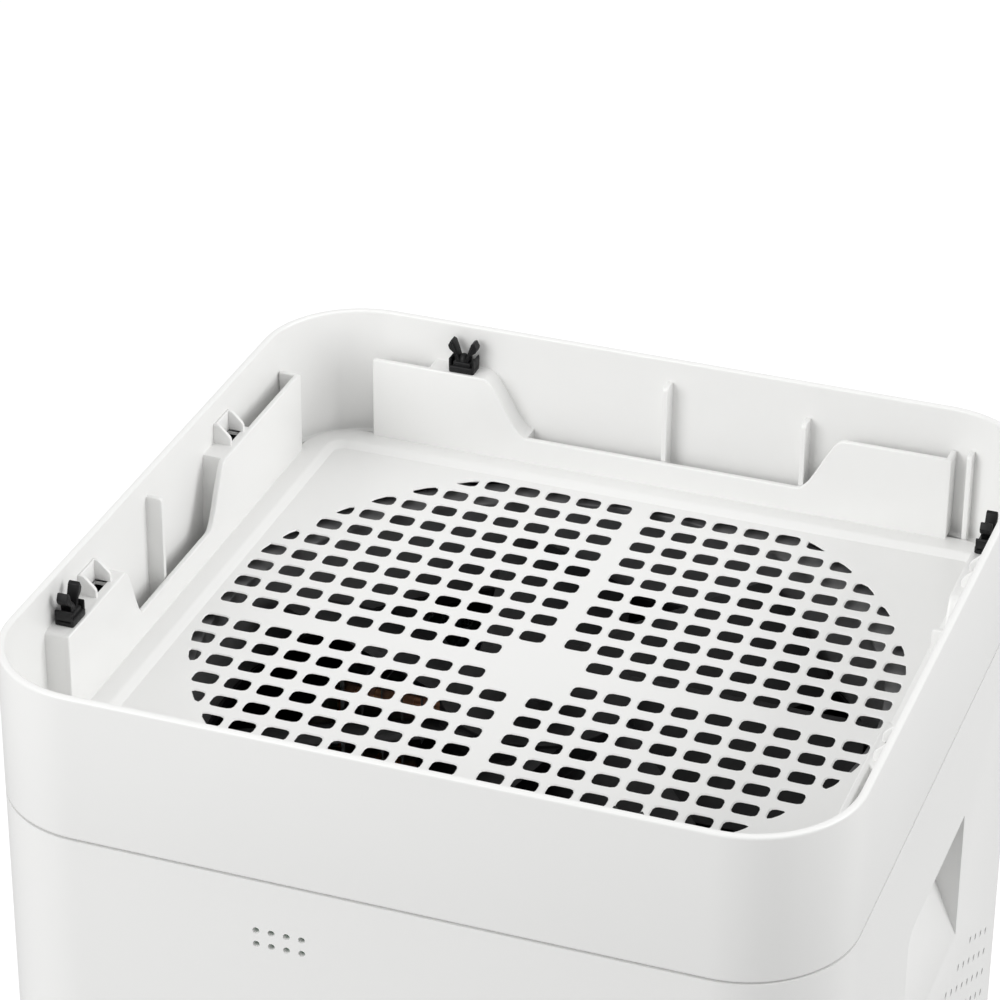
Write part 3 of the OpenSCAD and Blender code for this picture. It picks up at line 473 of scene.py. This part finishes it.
def grid_faces(rows, columns, close_rows=True, close_columns=True):
    """Four corners for each cell of a grid of points; a closed way joins its last point to its first."""
    i = np.arange(rows if close_rows else rows - 1)[:, None]
    j = np.arange(columns if close_columns else columns - 1)[None, :]
    i2, j2 = (i + 1) % rows, (j + 1) % columns
    corners = [i * columns + j, i2 * columns + j, i2 * columns + j2, i * columns + j2]
    return np.stack(corners, -1).reshape(-1, 4).tolist()


# %% Rounding and carrying
def soften(corners, cut, steps=3):
    """Rounds each corner of a closed outline: the corner P becomes the curve (1-t)^2 A + 2t(1-t) P + t^2 B,
    where A and B lie on the two edges at the distance cut from P, or half an edge if that is less."""
    p = np.asarray(corners, float)
    cut = np.broadcast_to(np.asarray(cut, float), len(p))[:, None]
    back, ahead = np.roll(p, 1, 0) - p, np.roll(p, -1, 0) - p
    far_back, far_ahead = np.linalg.norm(back, axis=1)[:, None], np.linalg.norm(ahead, axis=1)[:, None]
    a = p + back / far_back * np.minimum(cut, far_back * 0.49)
    b = p + ahead / far_ahead * np.minimum(cut, far_ahead * 0.49)
    t = np.linspace(0, 1, steps + 1)[None, :, None]
    curve = (1 - t) ** 2 * a[:, None] + 2 * t * (1 - t) * p[:, None] + t**2 * b[:, None]
    flat = curve.reshape(-1, p.shape[1])
    keep = np.linalg.norm(flat - np.roll(flat, 1, 0), axis=1) > 1e-4
    return flat[keep]


def round_rectangle(half_x, half_y, radius, steps=10):
    """Points of rectangles with round corners, one for each profile row: four quarter circles, each
    centred its radius inside its corner. The result has the shape (points round, profile rows, 2)."""
    half_x, half_y, radius = np.broadcast_arrays(half_x, half_y, radius)
    quarter = np.linspace(0, np.pi / 2, steps + 1)
    angle = np.concatenate([quarter + k * np.pi / 2 for k in range(4)])[:, None]
    side = np.repeat([[1, 1], [-1, 1], [-1, -1], [1, -1]], steps + 1, axis=0)
    x = side[:, :1] * (half_x - radius) + radius * np.cos(angle)
    y = side[:, 1:] * (half_y - radius) + radius * np.sin(angle)
    return np.stack([x, y], -1)


def carry_round(profile, steps=10):
    """Carries a closed profile round the body. Each profile row holds half width, corner radius, height."""
    profile = np.asarray(profile, float)
    flat = round_rectangle(profile[:, 0], profile[:, 0], profile[:, 1], steps)
    height = np.broadcast_to(profile[:, 2], flat.shape[:2])[..., None]
    grid = np.concatenate([flat, height], -1)
    return grid.reshape(-1, 3), grid_faces(*grid.shape[:2])


def slab(outline, thick, edge=0.5, steps=3):
    """Plate with rounded edges in (u, v, w): near each face the outline draws in by edge (1 - sin a) while
    it rises by edge (1 - cos a), as a goes through a quarter turn."""
    p = np.asarray(outline, float)
    way = np.roll(p, -1, 0) - p
    way /= np.linalg.norm(way, axis=1)[:, None]
    side = np.stack([way[:, 1], -way[:, 0]], 1)
    before = np.roll(side, 1, 0)
    out = (side + before) / np.maximum(1 + (side * before).sum(1), 0.35)[:, None]
    area = (p[:, 0] * np.roll(p[:, 1], -1) - np.roll(p[:, 0], -1) * p[:, 1]).sum()
    a = np.linspace(0, np.pi / 2, steps + 1)
    inset = edge * (1 - np.sin(a))
    rise = edge * (1 - np.cos(a))
    inset, level = np.concatenate([inset, inset[::-1]]), np.concatenate([rise, thick - rise[::-1]])
    rings = p[None] - inset[:, None, None] * out[None] * np.sign(area)
    grid = np.concatenate([rings, np.broadcast_to(level[:, None, None], rings.shape[:2] + (1,))], -1)
    n, m = grid.shape[:2]
    faces = grid_faces(n, m, False, True) + [list(range(m))[::-1], list(range((n - 1) * m, n * m))]
    return grid.reshape(-1, 3), faces


def stand(shape, axes, origin):
    """Turns a shape's (u, v, w) into the body's (x, y, z): each row of axes is where one of them points."""
    points, faces = shape
    return points @ np.asarray(axes, float) + np.asarray(origin, float), faces


def half_turn(shape):
    """The same shape turned half a turn about the body's upright centre line."""
    points, faces = shape
    return points * [-1, -1, 1], faces


def brick(low, high, edge=0.4, corner=None):
    """Block between two corners with rounded edges and upright corners."""
    low, high = np.asarray(low, float), np.asarray(high, float)
    outline = soften([low[:2], [high[0], low[1]], high[:2], [low[0], high[1]]], corner or edge * 1.6)
    return stand(slab(outline, high[2] - low[2], edge), np.eye(3), [0, 0, low[2]])


# %% [markdown]
# ## Collar
# The collar is the outer wall above the seam. It is one profile carried round a square with round
# corners: an outer face, a thin rounded rim, an inner face, and a tongue at the foot that drops inside
# the body shell. Its foot is cut back a little, which leaves the dark line of the seam.

# %% Collar wall
seam_foot = shell_high + 0.6
tongue_foot = span("top_collar")[0][2]
collar_corners = np.array([[0, seam_foot], [0, rim_z], [-wall, rim_z], [-wall, deck_z + 0.5],
                           [-4.6, deck_z + 0.2], [-4.6, tongue_foot], [-3.0, tongue_foot],
                           [-3.0, seam_foot]])
collar_line = soften(collar_corners, [0.9, 1.2, 1.0, 0.2, 0.4, 0.3, 0.3, 0.05], steps=5)
collar_profile = np.column_stack([half + collar_line[:, 0], corner_r + collar_line[:, 0], collar_line[:, 1]])
put_piece("collar_wall", *carry_round(collar_profile, steps=20), "chassis", "white_shell", ["top_collar"])

# %% Stiffening ribs inside the collar
def wall_rib(at, top, deep):
    """Thin rib on the back wall: an upright strip with a round top corner."""
    corners = [[inner + 1, -2], [inner - deep, -2], [inner - deep, top], [inner + 1, top]]
    line = soften(corners, [0.8, 0.8, 1.6, 0.8])
    return stand(slab(line, 2.0, 0.35), [[0, 1, 0], [0, 0, 1], [1, 0, 0]], [at - 1, 0, deck_z])


def quarter_turns(shape, count):
    """The same shape turned by that many quarter turns."""
    points, faces = shape
    c, s = [(1, 0), (0, 1), (-1, 0), (0, -1)][count % 4]
    return points @ np.array([[c, s, 0], [-s, c, 0], [0, 0, 1]]), faces


deep = inner - plate_out - gap
back_ribs = [wall_rib(2, 42, deep), wall_rib(55, 37, deep), wall_rib(117, 36, deep)]
side_ribs = [quarter_turns(wall_rib(-5, 43, 6), 1), quarter_turns(wall_rib(-5, 43, 6), 3)]
put_piece("collar_ribs", *put_together(back_ribs + [half_turn(r) for r in back_ribs] + side_ribs), "chassis",
          "white_shell", ["top_collar"])

# %% [markdown]
# ## Grille plate
# The deck is a thin sheet with about three hundred small holes. A hole is the same shape each time:
# a rectangle with round corners, a soft lip, and a short wall. The sheet is cut into cells, one to
# a hole, and each cell is a frame of faces between its square border and its hole. Neighbours share
# their border points, so the sheet is closed. A circle cuts the outer holes, as on the real part.

# %% Pierced sheet
def pierced_sheet(cells, holes, has_hole, thick, lip=0.45, flare=0.95):
    """Sheet in (u, v, depth) made of cells. cells has rows of low u, low v, high u, high v; holes has
    16 points a cell, starting at the low corner. The lip is one sloping ring from the hole's outline
    grown by lip, at the surface, to the outline itself, lip below it. From there the wall flares, so
    that a slanting line of sight meets the dark below and not a lit wall."""
    low, size = cells[:, None, :2], (cells[:, 2:] - cells[:, :2])[:, None]
    k = np.arange(4) / 4
    zero, one = np.zeros(4), np.ones(4)
    square = np.concatenate([np.stack(s, 1) for s in ((k, zero), (one, k), (1 - k, one), (zero, 1 - k))])
    border = low + size * square[None]
    middle = holes.mean(1, keepdims=True)
    arm = holes - middle
    outward = arm / np.maximum(np.linalg.norm(arm, axis=2, keepdims=True), 1e-6)
    grown, flared = holes + lip * outward, holes + flare * outward
    rings = [(border, 0), (grown, 0), (holes, lip), (flared, thick), (border, thick)]
    points = np.stack([np.concatenate([r, np.full(r.shape[:2] + (1,), d)], -1) for r, d in rings], 1)
    n = len(cells)
    index = np.arange(n * 5 * 16).reshape(n, 5, 16)
    ahead = np.roll(index, -1, 2)
    now, then = index[has_hole], ahead[has_hole]
    quads = np.stack([now[:, :-1], then[:, :-1], then[:, 1:], now[:, 1:]], -1).reshape(-1, 4)
    solid = np.concatenate([index[~has_hole][:, 0], index[~has_hole][:, 4, ::-1]])
    # a border edge used by one cell alone is on the sheet's rim; an edge is named alike from both sides
    ends = np.round(np.stack([border, np.roll(border, -1, 1)], 2) * 100).astype(int).reshape(n * 16, 4)
    first, second = (ends[:, :2] * [100000, 1]).sum(1), (ends[:, 2:] * [100000, 1]).sum(1)
    named = np.where((first < second)[:, None], ends, ends[:, [2, 3, 0, 1]])
    _, which, uses = np.unique(named, axis=0, return_inverse=True, return_counts=True)
    edge = uses[which.ravel()] == 1
    a, b = index[:, 0].ravel()[edge], ahead[:, 0].ravel()[edge]
    c, d = ahead[:, 4].ravel()[edge], index[:, 4].ravel()[edge]
    rim = np.stack([a, b, c, d], 1)
    return points.reshape(-1, 3), quads.tolist() + solid.tolist() + rim.tolist()


def hole_outline(width, length, radius):
    """16 points of a rectangle with round corners, starting at the middle of the low corner's arc."""
    arcs = []
    for k, (sx, sy) in enumerate([(-1, -1), (1, -1), (1, 1), (-1, 1)]):
        centre = np.array([sx * (width / 2 - radius), sy * (length / 2 - radius)])
        a = np.array([0.0, 0.5, 1.0]) * np.pi / 2 + np.pi + k * np.pi / 2
        arcs.append(centre + radius * np.stack([np.cos(a), np.sin(a)], 1))
    rows = []
    for k in range(4):
        nxt = arcs[(k + 1) % 4]
        rows += [arcs[k][1], arcs[k][2], (arcs[k][2] + nxt[0]) / 2, nxt[0]]
    return np.array(rows)


# %% Grille holes
pitch, bar_pitch = 12, 16.7
ring_cut, ring_shift = 124, 12
flat_half = 123.5
sheet_thick = 1.1
hole_width, hole_length, hole_corner, hole_shift = 8.8, 7.0, 1.9, 0.1
steps_out = bar_pitch / 2 + pitch * np.arange(10)
centres = np.concatenate([-steps_out[::-1], steps_out])
breaks = np.concatenate([[0], steps_out[:-1] + pitch / 2, [flat_half + 2.4]])
breaks = np.concatenate([-breaks[:0:-1], breaks])
cu, cv = [g.ravel() for g in np.meshgrid(centres, centres, indexing="ij")]
lu, lv = [g.ravel() for g in np.meshgrid(breaks[:-1], breaks[:-1], indexing="ij")]
hu, hv = [g.ravel() for g in np.meshgrid(breaks[1:], breaks[1:], indexing="ij")]
cells = np.stack([lu, lv, hu, hv], 1)
centre = np.stack([cu, cv], 1)
outline = hole_outline(hole_width, hole_length, hole_corner) + [hole_shift, 0]
from_middle = centre - [0, ring_shift]
distance = np.linalg.norm(from_middle, axis=1)
star = centre - from_middle / distance[:, None] * np.clip(distance - ring_cut + 1.6, 0, 4.2)[:, None]
holes = centre[:, None] + outline[None]
arm = holes - star[:, None]
start = star - [0, ring_shift]
# where the ray star + s arm meets the circle: a s^2 + 2 b s + c = 0
qa = (arm**2).sum(2)
qb = (arm * start[:, None]).sum(2)
qc = (start**2).sum(1)[:, None] - ring_cut**2
reach = (-qb + np.sqrt(np.maximum(qb**2 - qa * qc, 0))) / qa
holes = star[:, None] + arm * np.clip(reach, 0.02, 1.0)[..., None]
across = np.roll(holes, -1, 1)
area = 0.5 * np.abs((holes[..., 0] * across[..., 1] - across[..., 0] * holes[..., 1]).sum(1))
has_hole = (np.linalg.norm(star - [0, ring_shift], axis=1) < ring_cut - 1.0) & (area > 5)
has_hole &= ~((np.abs(cu) < pitch) & (np.abs(cv) < pitch))
sheet_points, sheet_faces = pierced_sheet(cells, holes, has_hole, sheet_thick)
put_piece("grille_plate", sheet_points * [1, 1, -1] + [0, 0, deck_z], sheet_faces, "chassis",
          "white_shell", ["grille_deck"])
print("grille holes:", int(has_hole.sum()))

# %% [markdown]
# ## Ledge, skirt and flange
# Round the flat deck a short slope rises to a ledge, whose skirt drops to the flange that rests in
# the body. It is again one profile carried round, but here each row has its own corner radius: tight
# at the deck and wider at the ledge's outer edge.

# %% Deck frame
ledge = np.array([[plate_out, 20, flange_top], [plate_out, 20, 2], [126.6, 7, 2], [123.4, 4, -0.05],
                  [122.6, 3.5, -0.9], [plate_in, 17.8, -1.4], [plate_in, 17.8, flange_foot],
                  [139.9, 32.9, flange_foot], [139.9, 32.9, flange_top]])
ledge = soften(ledge, [0.6, 0.8, 1.2, 1.2, 0.1, 0.6, 0.4, 0.4, 0.4], steps=4)
ledge[:, 2] += deck_z
put_piece("deck_frame", *carry_round(ledge, steps=12), "chassis", "white_shell", ["grille_deck"])

# %% [markdown]
# ## Upstanding plates
# Four thin plates stand on the ledge. Seen from the side, each is high, falls in a smooth S to a low
# curb, and rises again. The S is 3t^2 - 2t^3, which starts and ends level. Left and right plates are
# alike after half a turn about the centre, and so are the front and back ones.

# %% Plates
def plate_line(start, fall, rise, end, n=14):
    """Outline of a plate along its length: foot, high stretch, S down, curb, S up, high stretch."""
    t = np.linspace(0, 1, n + 1)
    s = 3 * t**2 - 2 * t**3
    drop = plate_high - plate_low
    down = np.column_stack([fall[0] + (fall[1] - fall[0]) * t, plate_high - drop * s])
    up = np.column_stack([rise[0] + (rise[1] - rise[0]) * t, plate_low + drop * s])
    start_end = [[start, flange_top], [start, plate_high - 0.5], [start + 0.5, plate_high]]
    far_end = [[end - 0.5, plate_high], [end, plate_high - 0.5], [end, flange_top]]
    return np.concatenate([start_end, down, up, far_end])


left_plate = stand(slab(plate_line(-87.5, (-43, -30), (27, 43), 113.4), plate_t, 0.55),
                   [[0, 1, 0], [0, 0, 1], [-1, 0, 0]], [-plate_in, 0, deck_z])
back_plate = stand(slab(plate_line(-112.6, (-69, -51), (54, 71), 111), plate_t, 0.55),
                   [[1, 0, 0], [0, 0, 1], [0, 1, 0]], [0, plate_in, deck_z])
plate_top = deck_z + plate_high
# short walls that close the gap between a plate's end and the collar
closing = [brick([-inner + 0.7, 111.2, deck_z + 2], [-plate_out + 0.8, 113.4, plate_top], 0.5),
           brick([108.8, plate_out - 0.8, deck_z + 2], [111, inner - 0.7, plate_top], 0.5)]
plates = [left_plate, back_plate] + closing
put_piece("plates", *put_together(plates + [half_turn(p) for p in plates]), "chassis", "white_shell",
          ["upstanding_plates"])

# %% [markdown]
# ## Hollow bosses and tab sockets
# Between a plate and the collar sit hollow boxes. Black clips stand on some of them, and the ones on the
# sides have a small window that takes a tab of the cover. Three walls frame the window and stand above
# the box; the side towards the deck is open. A black liner under the window makes it look dark: it is
# painted shade, a black part that stands for the shade inside the hollow box.

# %% Bosses
outer_face = inner + 0.2
near_face = plate_out - 0.6
window_mid = (plate_out + outer_face) / 2
# half of a window's size along the wall and across it, and the frame's thickness and rise
open_along, open_across = 5, 2.3
frame_t, frame_rise = 1.5, 7.6


def arch(end, ramp, skin=2.0, n=12):
    """Side view of a hollow boss: up the end wall, along the roof and down the ramp, then back below."""
    side = 1 if end < ramp[0] else -1
    t = np.linspace(0, 1, n + 1)
    s = 3 * t**2 - 2 * t**3
    heights = plate_high - (plate_high - plate_low) * s
    ramp_line = np.column_stack([ramp[0] + (ramp[1] - ramp[0]) * t, heights])
    top = np.concatenate([[[end, flange_top], [end, plate_high - 1.2], [end + side * 0.4, plate_high - 0.4],
                           [end + side * 1.2, plate_high]], ramp_line, [[ramp[1], flange_top]]])
    below = np.concatenate([[[ramp[1] - side * skin, flange_top]], ramp_line[::-1] - [side * skin, skin],
                            [[end + side * skin, plate_high - skin], [end + side * skin, flange_top]]])
    return np.concatenate([top, below])


def strip(line, near, far):
    """A side view pushed through from near to far along y, with square edges, standing on the deck."""
    return stand(slab(line, far - near, 0.04, 1), [[1, 0, 0], [0, 0, 1], [0, 1, 0]], [0, near, deck_z])


def socket_frame(window):
    """Three walls round a window, open towards the deck. The end walls slope down that way."""
    back, foot, top = window_mid + open_across, plate_high - 1, plate_high + frame_rise
    line = soften([[plate_out, foot], [outer_face, foot], [outer_face, top], [back - 1, top],
                   [plate_out, plate_high + 3]], [0.5, 0.5, 0.9, 1.2, 1.2])
    walls = [stand(slab(line, frame_t, 0.35), [[0, 1, 0], [0, 0, 1], [1, 0, 0]], [at, 0, deck_z])
             for at in (window - open_along - frame_t, window + open_along)]
    return walls + [brick([window - 6.2, back, deck_z + foot], [window + 6.2, outer_face, deck_z + top], 0.4)]


def boss(end, ramp, window=None):
    """One hollow boss on the back wall. With a window its roof is laid round it and its frame added."""
    if window is None:
        return [strip(arch(end, ramp), near_face, outer_face)]
    side = 1 if end < ramp[0] else -1
    line = arch(end, ramp)
    w0, w1 = window - side * open_along, window + side * open_along
    under = plate_high - 2
    near = np.concatenate([line[:4], [[w0, plate_high], [w0, under]], line[-2:]])
    far = np.concatenate([[[w1, under], [w1, plate_high]], line[4:-2]])
    low_x, high_x = min(w0, w1) - 0.3, max(w0, w1) + 0.3
    beside = (near_face, window_mid - open_across), (window_mid + open_across, outer_face)
    bridge = [brick([low_x, y0, deck_z + under], [high_x, y1, plate_top - 0.01], 0.05, 0.08)
              for y0, y1 in beside]
    halves = [strip(part, near_face, outer_face) for part in (near, far)]
    return halves + bridge + socket_frame(window)


side_bosses = [quarter_turns(p, 1) for p in boss(-87.5, (-43, -30), -55) + boss(69, (43, 41), 59)]
back_bosses = boss(-91, (-69, -51))
bosses = side_bosses + back_bosses
put_piece("bosses", *put_together(bosses + [half_turn(b) for b in bosses]), "chassis", "white_shell",
          ["cover_bosses"])

# %% [markdown]
# ## Snap clips
# A clip is a black nylon part: a shallow tray with turned-up lips, a dome in the middle, and two springy
# prongs that lean apart and carry barbs. The cover's posts push between the prongs. The tray and prongs
# are slabs with rounded edges, and the dome is a quarter circle turned about its axis.

# %% Clips
def dome(radius, height, rings=6, around=20):
    """Dome: radius times cos a out and height times sin a up, turned about the axis, closed below."""
    a = np.linspace(0, np.pi / 2, rings + 1)[:-1]
    turn = np.linspace(0, 2 * np.pi, around, endpoint=False)
    out, up = np.cos(a) * radius, np.sin(a) * height
    level = np.broadcast_to(up[:, None], (rings, around))
    grid = np.stack([out[:, None] * np.cos(turn), out[:, None] * np.sin(turn), level], -1)
    points = np.concatenate([grid.reshape(-1, 3), [[0, 0, height], [0, 0, 0]]])
    last = (rings - 1) * around
    fan = [[last + k, last + (k + 1) % around, rings * around] for k in range(around)]
    foot = [[(k + 1) % around, k, rings * around + 1] for k in range(around)]
    return points, grid_faces(rings, around, False, True) + fan + foot


def snap_clip():
    """One clip about the origin, its long side along x."""
    cap, cap_faces = dome(2.1, 3.0)
    parts = [brick([-5, -3.5, 0], [5, 3.5, 2.6], 0.4, 0.9),
             brick([-3.6, -2.6, 2], [3.6, 2.6, 4.2], 0.35, 0.8), (cap + [0, 0, 4.0], cap_faces)]
    lip_line = np.array([[4.1, 1.5], [5, 1.5], [5, 5.4], [4.5, 6.0], [4.1, 5.2]])
    prong_line = np.array([[0.5, 3], [2.2, 3], [3.1, 7], [5.2, 8.6], [5.8, 10.2], [4.6, 12.6], [3.4, 12],
                           [2.2, 8.5]])
    upright = [[1, 0, 0], [0, 0, 1], [0, 1, 0]]
    for s in (-1, 1):
        lip = slab(soften(lip_line * [s, 1], 0.25), 6.4, 0.3)
        prong = slab(soften(prong_line * [s, 1], 0.35), 4, 0.35)
        parts += [stand(lip, upright, [0, -3.2, 0]), stand(prong, upright, [0, -2, 0])]
    return put_together(parts)


clip_mid = (plate_in + inner) / 2
points, faces = snap_clip()
turned_points, _ = quarter_turns((points, faces), 1)
clips = [(points + [-77.5, clip_mid, plate_top], faces), (turned_points + [-clip_mid, -77, plate_top], faces)]
put_piece("snap_clips", *put_together(clips + [half_turn(c) for c in clips]), "chassis", "black_clip",
          ["cover_clips"])

# %% [markdown]
# ## Soft edges on the other moulded parts
# A part whose shape the CAD model already has needs only the small radius that every moulded, pressed or
# cast edge has, because that edge is what catches the light. Each is copied, its loose triangles are
# merged, flat faces are joined, and a live Bevel cuts every edge sharper than 35 degrees.

# %% Copy with soft edges
body_of = {node: body for body, nodes in frame["record"]["behaviour"]["bodies"].items() for node in nodes}


def soft_edges(node, width_mm, steps=2):
    """Copy of a CAD node with its edges cut back by width_mm, on the same body, standing for the node."""
    source = frame["nodes"][node]
    mesh = source.data.copy()
    work = bmesh.new()
    work.from_mesh(mesh)
    bmesh.ops.remove_doubles(work, verts=work.verts, dist=2e-6)
    bmesh.ops.dissolve_limit(work, angle_limit=math.radians(0.5), verts=work.verts, edges=work.edges)
    work.to_mesh(mesh)
    work.free()
    mesh.shade_smooth()
    piece = bpy.data.objects.new("soft_" + node, mesh)
    bpy.context.scene.collection.objects.link(piece)
    cut = piece.modifiers.new("edges", "BEVEL")
    cut.width, cut.segments, cut.limit_method = width_mm * MM, steps, "ANGLE"
    cut.angle_limit = math.radians(35)
    cut.use_clamp_overlap = True
    piece.modifiers.new("normals", "WEIGHTED_NORMAL")
    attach(piece, body_of[node])
    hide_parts(node)
    return len(mesh.polygons)


# %% Parts that get soft edges
edge_widths = {
    "body_shell": 0.5, "rear_panel": 0.5, "intake_grille": 0.3, "tank_front_panel": 0.6, "base_pan": 0.5,
    "tank_bay": 0.4, "water_tank": 0.5, "tank_lid": 0.5, "drip_tray": 0.4, "filter_frame": 0.3,
    "fan_ring": 0.5, "motor_bracket": 0.4, "fan_motor": 0.6, "fan_impeller": 0.25, "control_box": 0.5,
    "control_box_lid": 0.4, "compressor": 1.0, "compressor_mounts": 0.6, "run_capacitor": 0.5,
    "power_inlet": 0.3, "drain_cap": 0.4, "tank_float": 0.8, "level_sensor": 0.4, "level_window": 0.3,
}
for corner in ("front_left", "front_right", "back_left", "back_right"):
    edge_widths["castor_fork_" + corner] = 0.3
    edge_widths["castor_wheel_" + corner] = 0.8
# the shell has hundreds of holes, so its edges get one facet each and not two
facets = {"body_shell": 1}
softened = {node: soft_edges(node, width, facets.get(node, 2)) for node, width in edge_widths.items()}
print("soft edges:", softened)

# %% [markdown]
# ## Floor
# A plain pale sheet under the machine catches a soft shadow. It isn't part of the object. A white sheet
# would throw so much light up at the outer walls that they would wash out. So the paper is grey to the
# light that bounces, and glows a little for the camera alone. A black flag off the front right corner,
# which the camera doesn't see, keeps light away from there, so that the round corner reads as round.

# %% Floor
floor_mesh = bpy.data.meshes.new("studio_floor")
floor_mesh.from_pydata([(-8, -8, 0), (8, -8, 0), (8, 8, 0), (-8, 8, 0)], [], [(0, 1, 2, 3)])
floor = bpy.data.objects.new("studio_floor", floor_mesh)
bpy.context.scene.collection.objects.link(floor)
pale = bpy.data.materials.new("pale_paper")
pale.use_nodes = True
paper = pale.node_tree.nodes["Principled BSDF"].inputs
paper["Base Color"].default_value = (0.45, 0.45, 0.45, 1)
paper["Roughness"].default_value = 0.9
paper["Emission Color"].default_value = (1, 1, 1, 1)
seen = add_node(pale.node_tree, "ShaderNodeLightPath").outputs["Is Camera Ray"]
pale.node_tree.links.new(spread(pale.node_tree, seen, 0.0, 1.0, 0.0, 0.62), paper["Emission Strength"])
floor_mesh.materials.append(pale)

# %% Black flag off the front right corner
flag_mesh = bpy.data.meshes.new("studio_flag")
flag_mesh.from_pydata([(0.36, -0.70, 0.0), (0.66, -0.44, 0.0), (0.66, -0.44, 0.85), (0.36, -0.70, 0.85)], [],
                      [(0, 1, 2, 3)])
flag = bpy.data.objects.new("studio_flag", flag_mesh)
bpy.context.scene.collection.objects.link(flag)
cloth = bpy.data.materials.new("flag_cloth")
cloth.use_nodes = True
cloth.node_tree.nodes["Principled BSDF"].inputs["Base Color"].default_value = (0.02, 0.02, 0.02, 1)
cloth.node_tree.nodes["Principled BSDF"].inputs["Roughness"].default_value = 1.0
flag_mesh.materials.append(cloth)
flag.visible_camera = False
print("staged:", floor.name, flag.name)
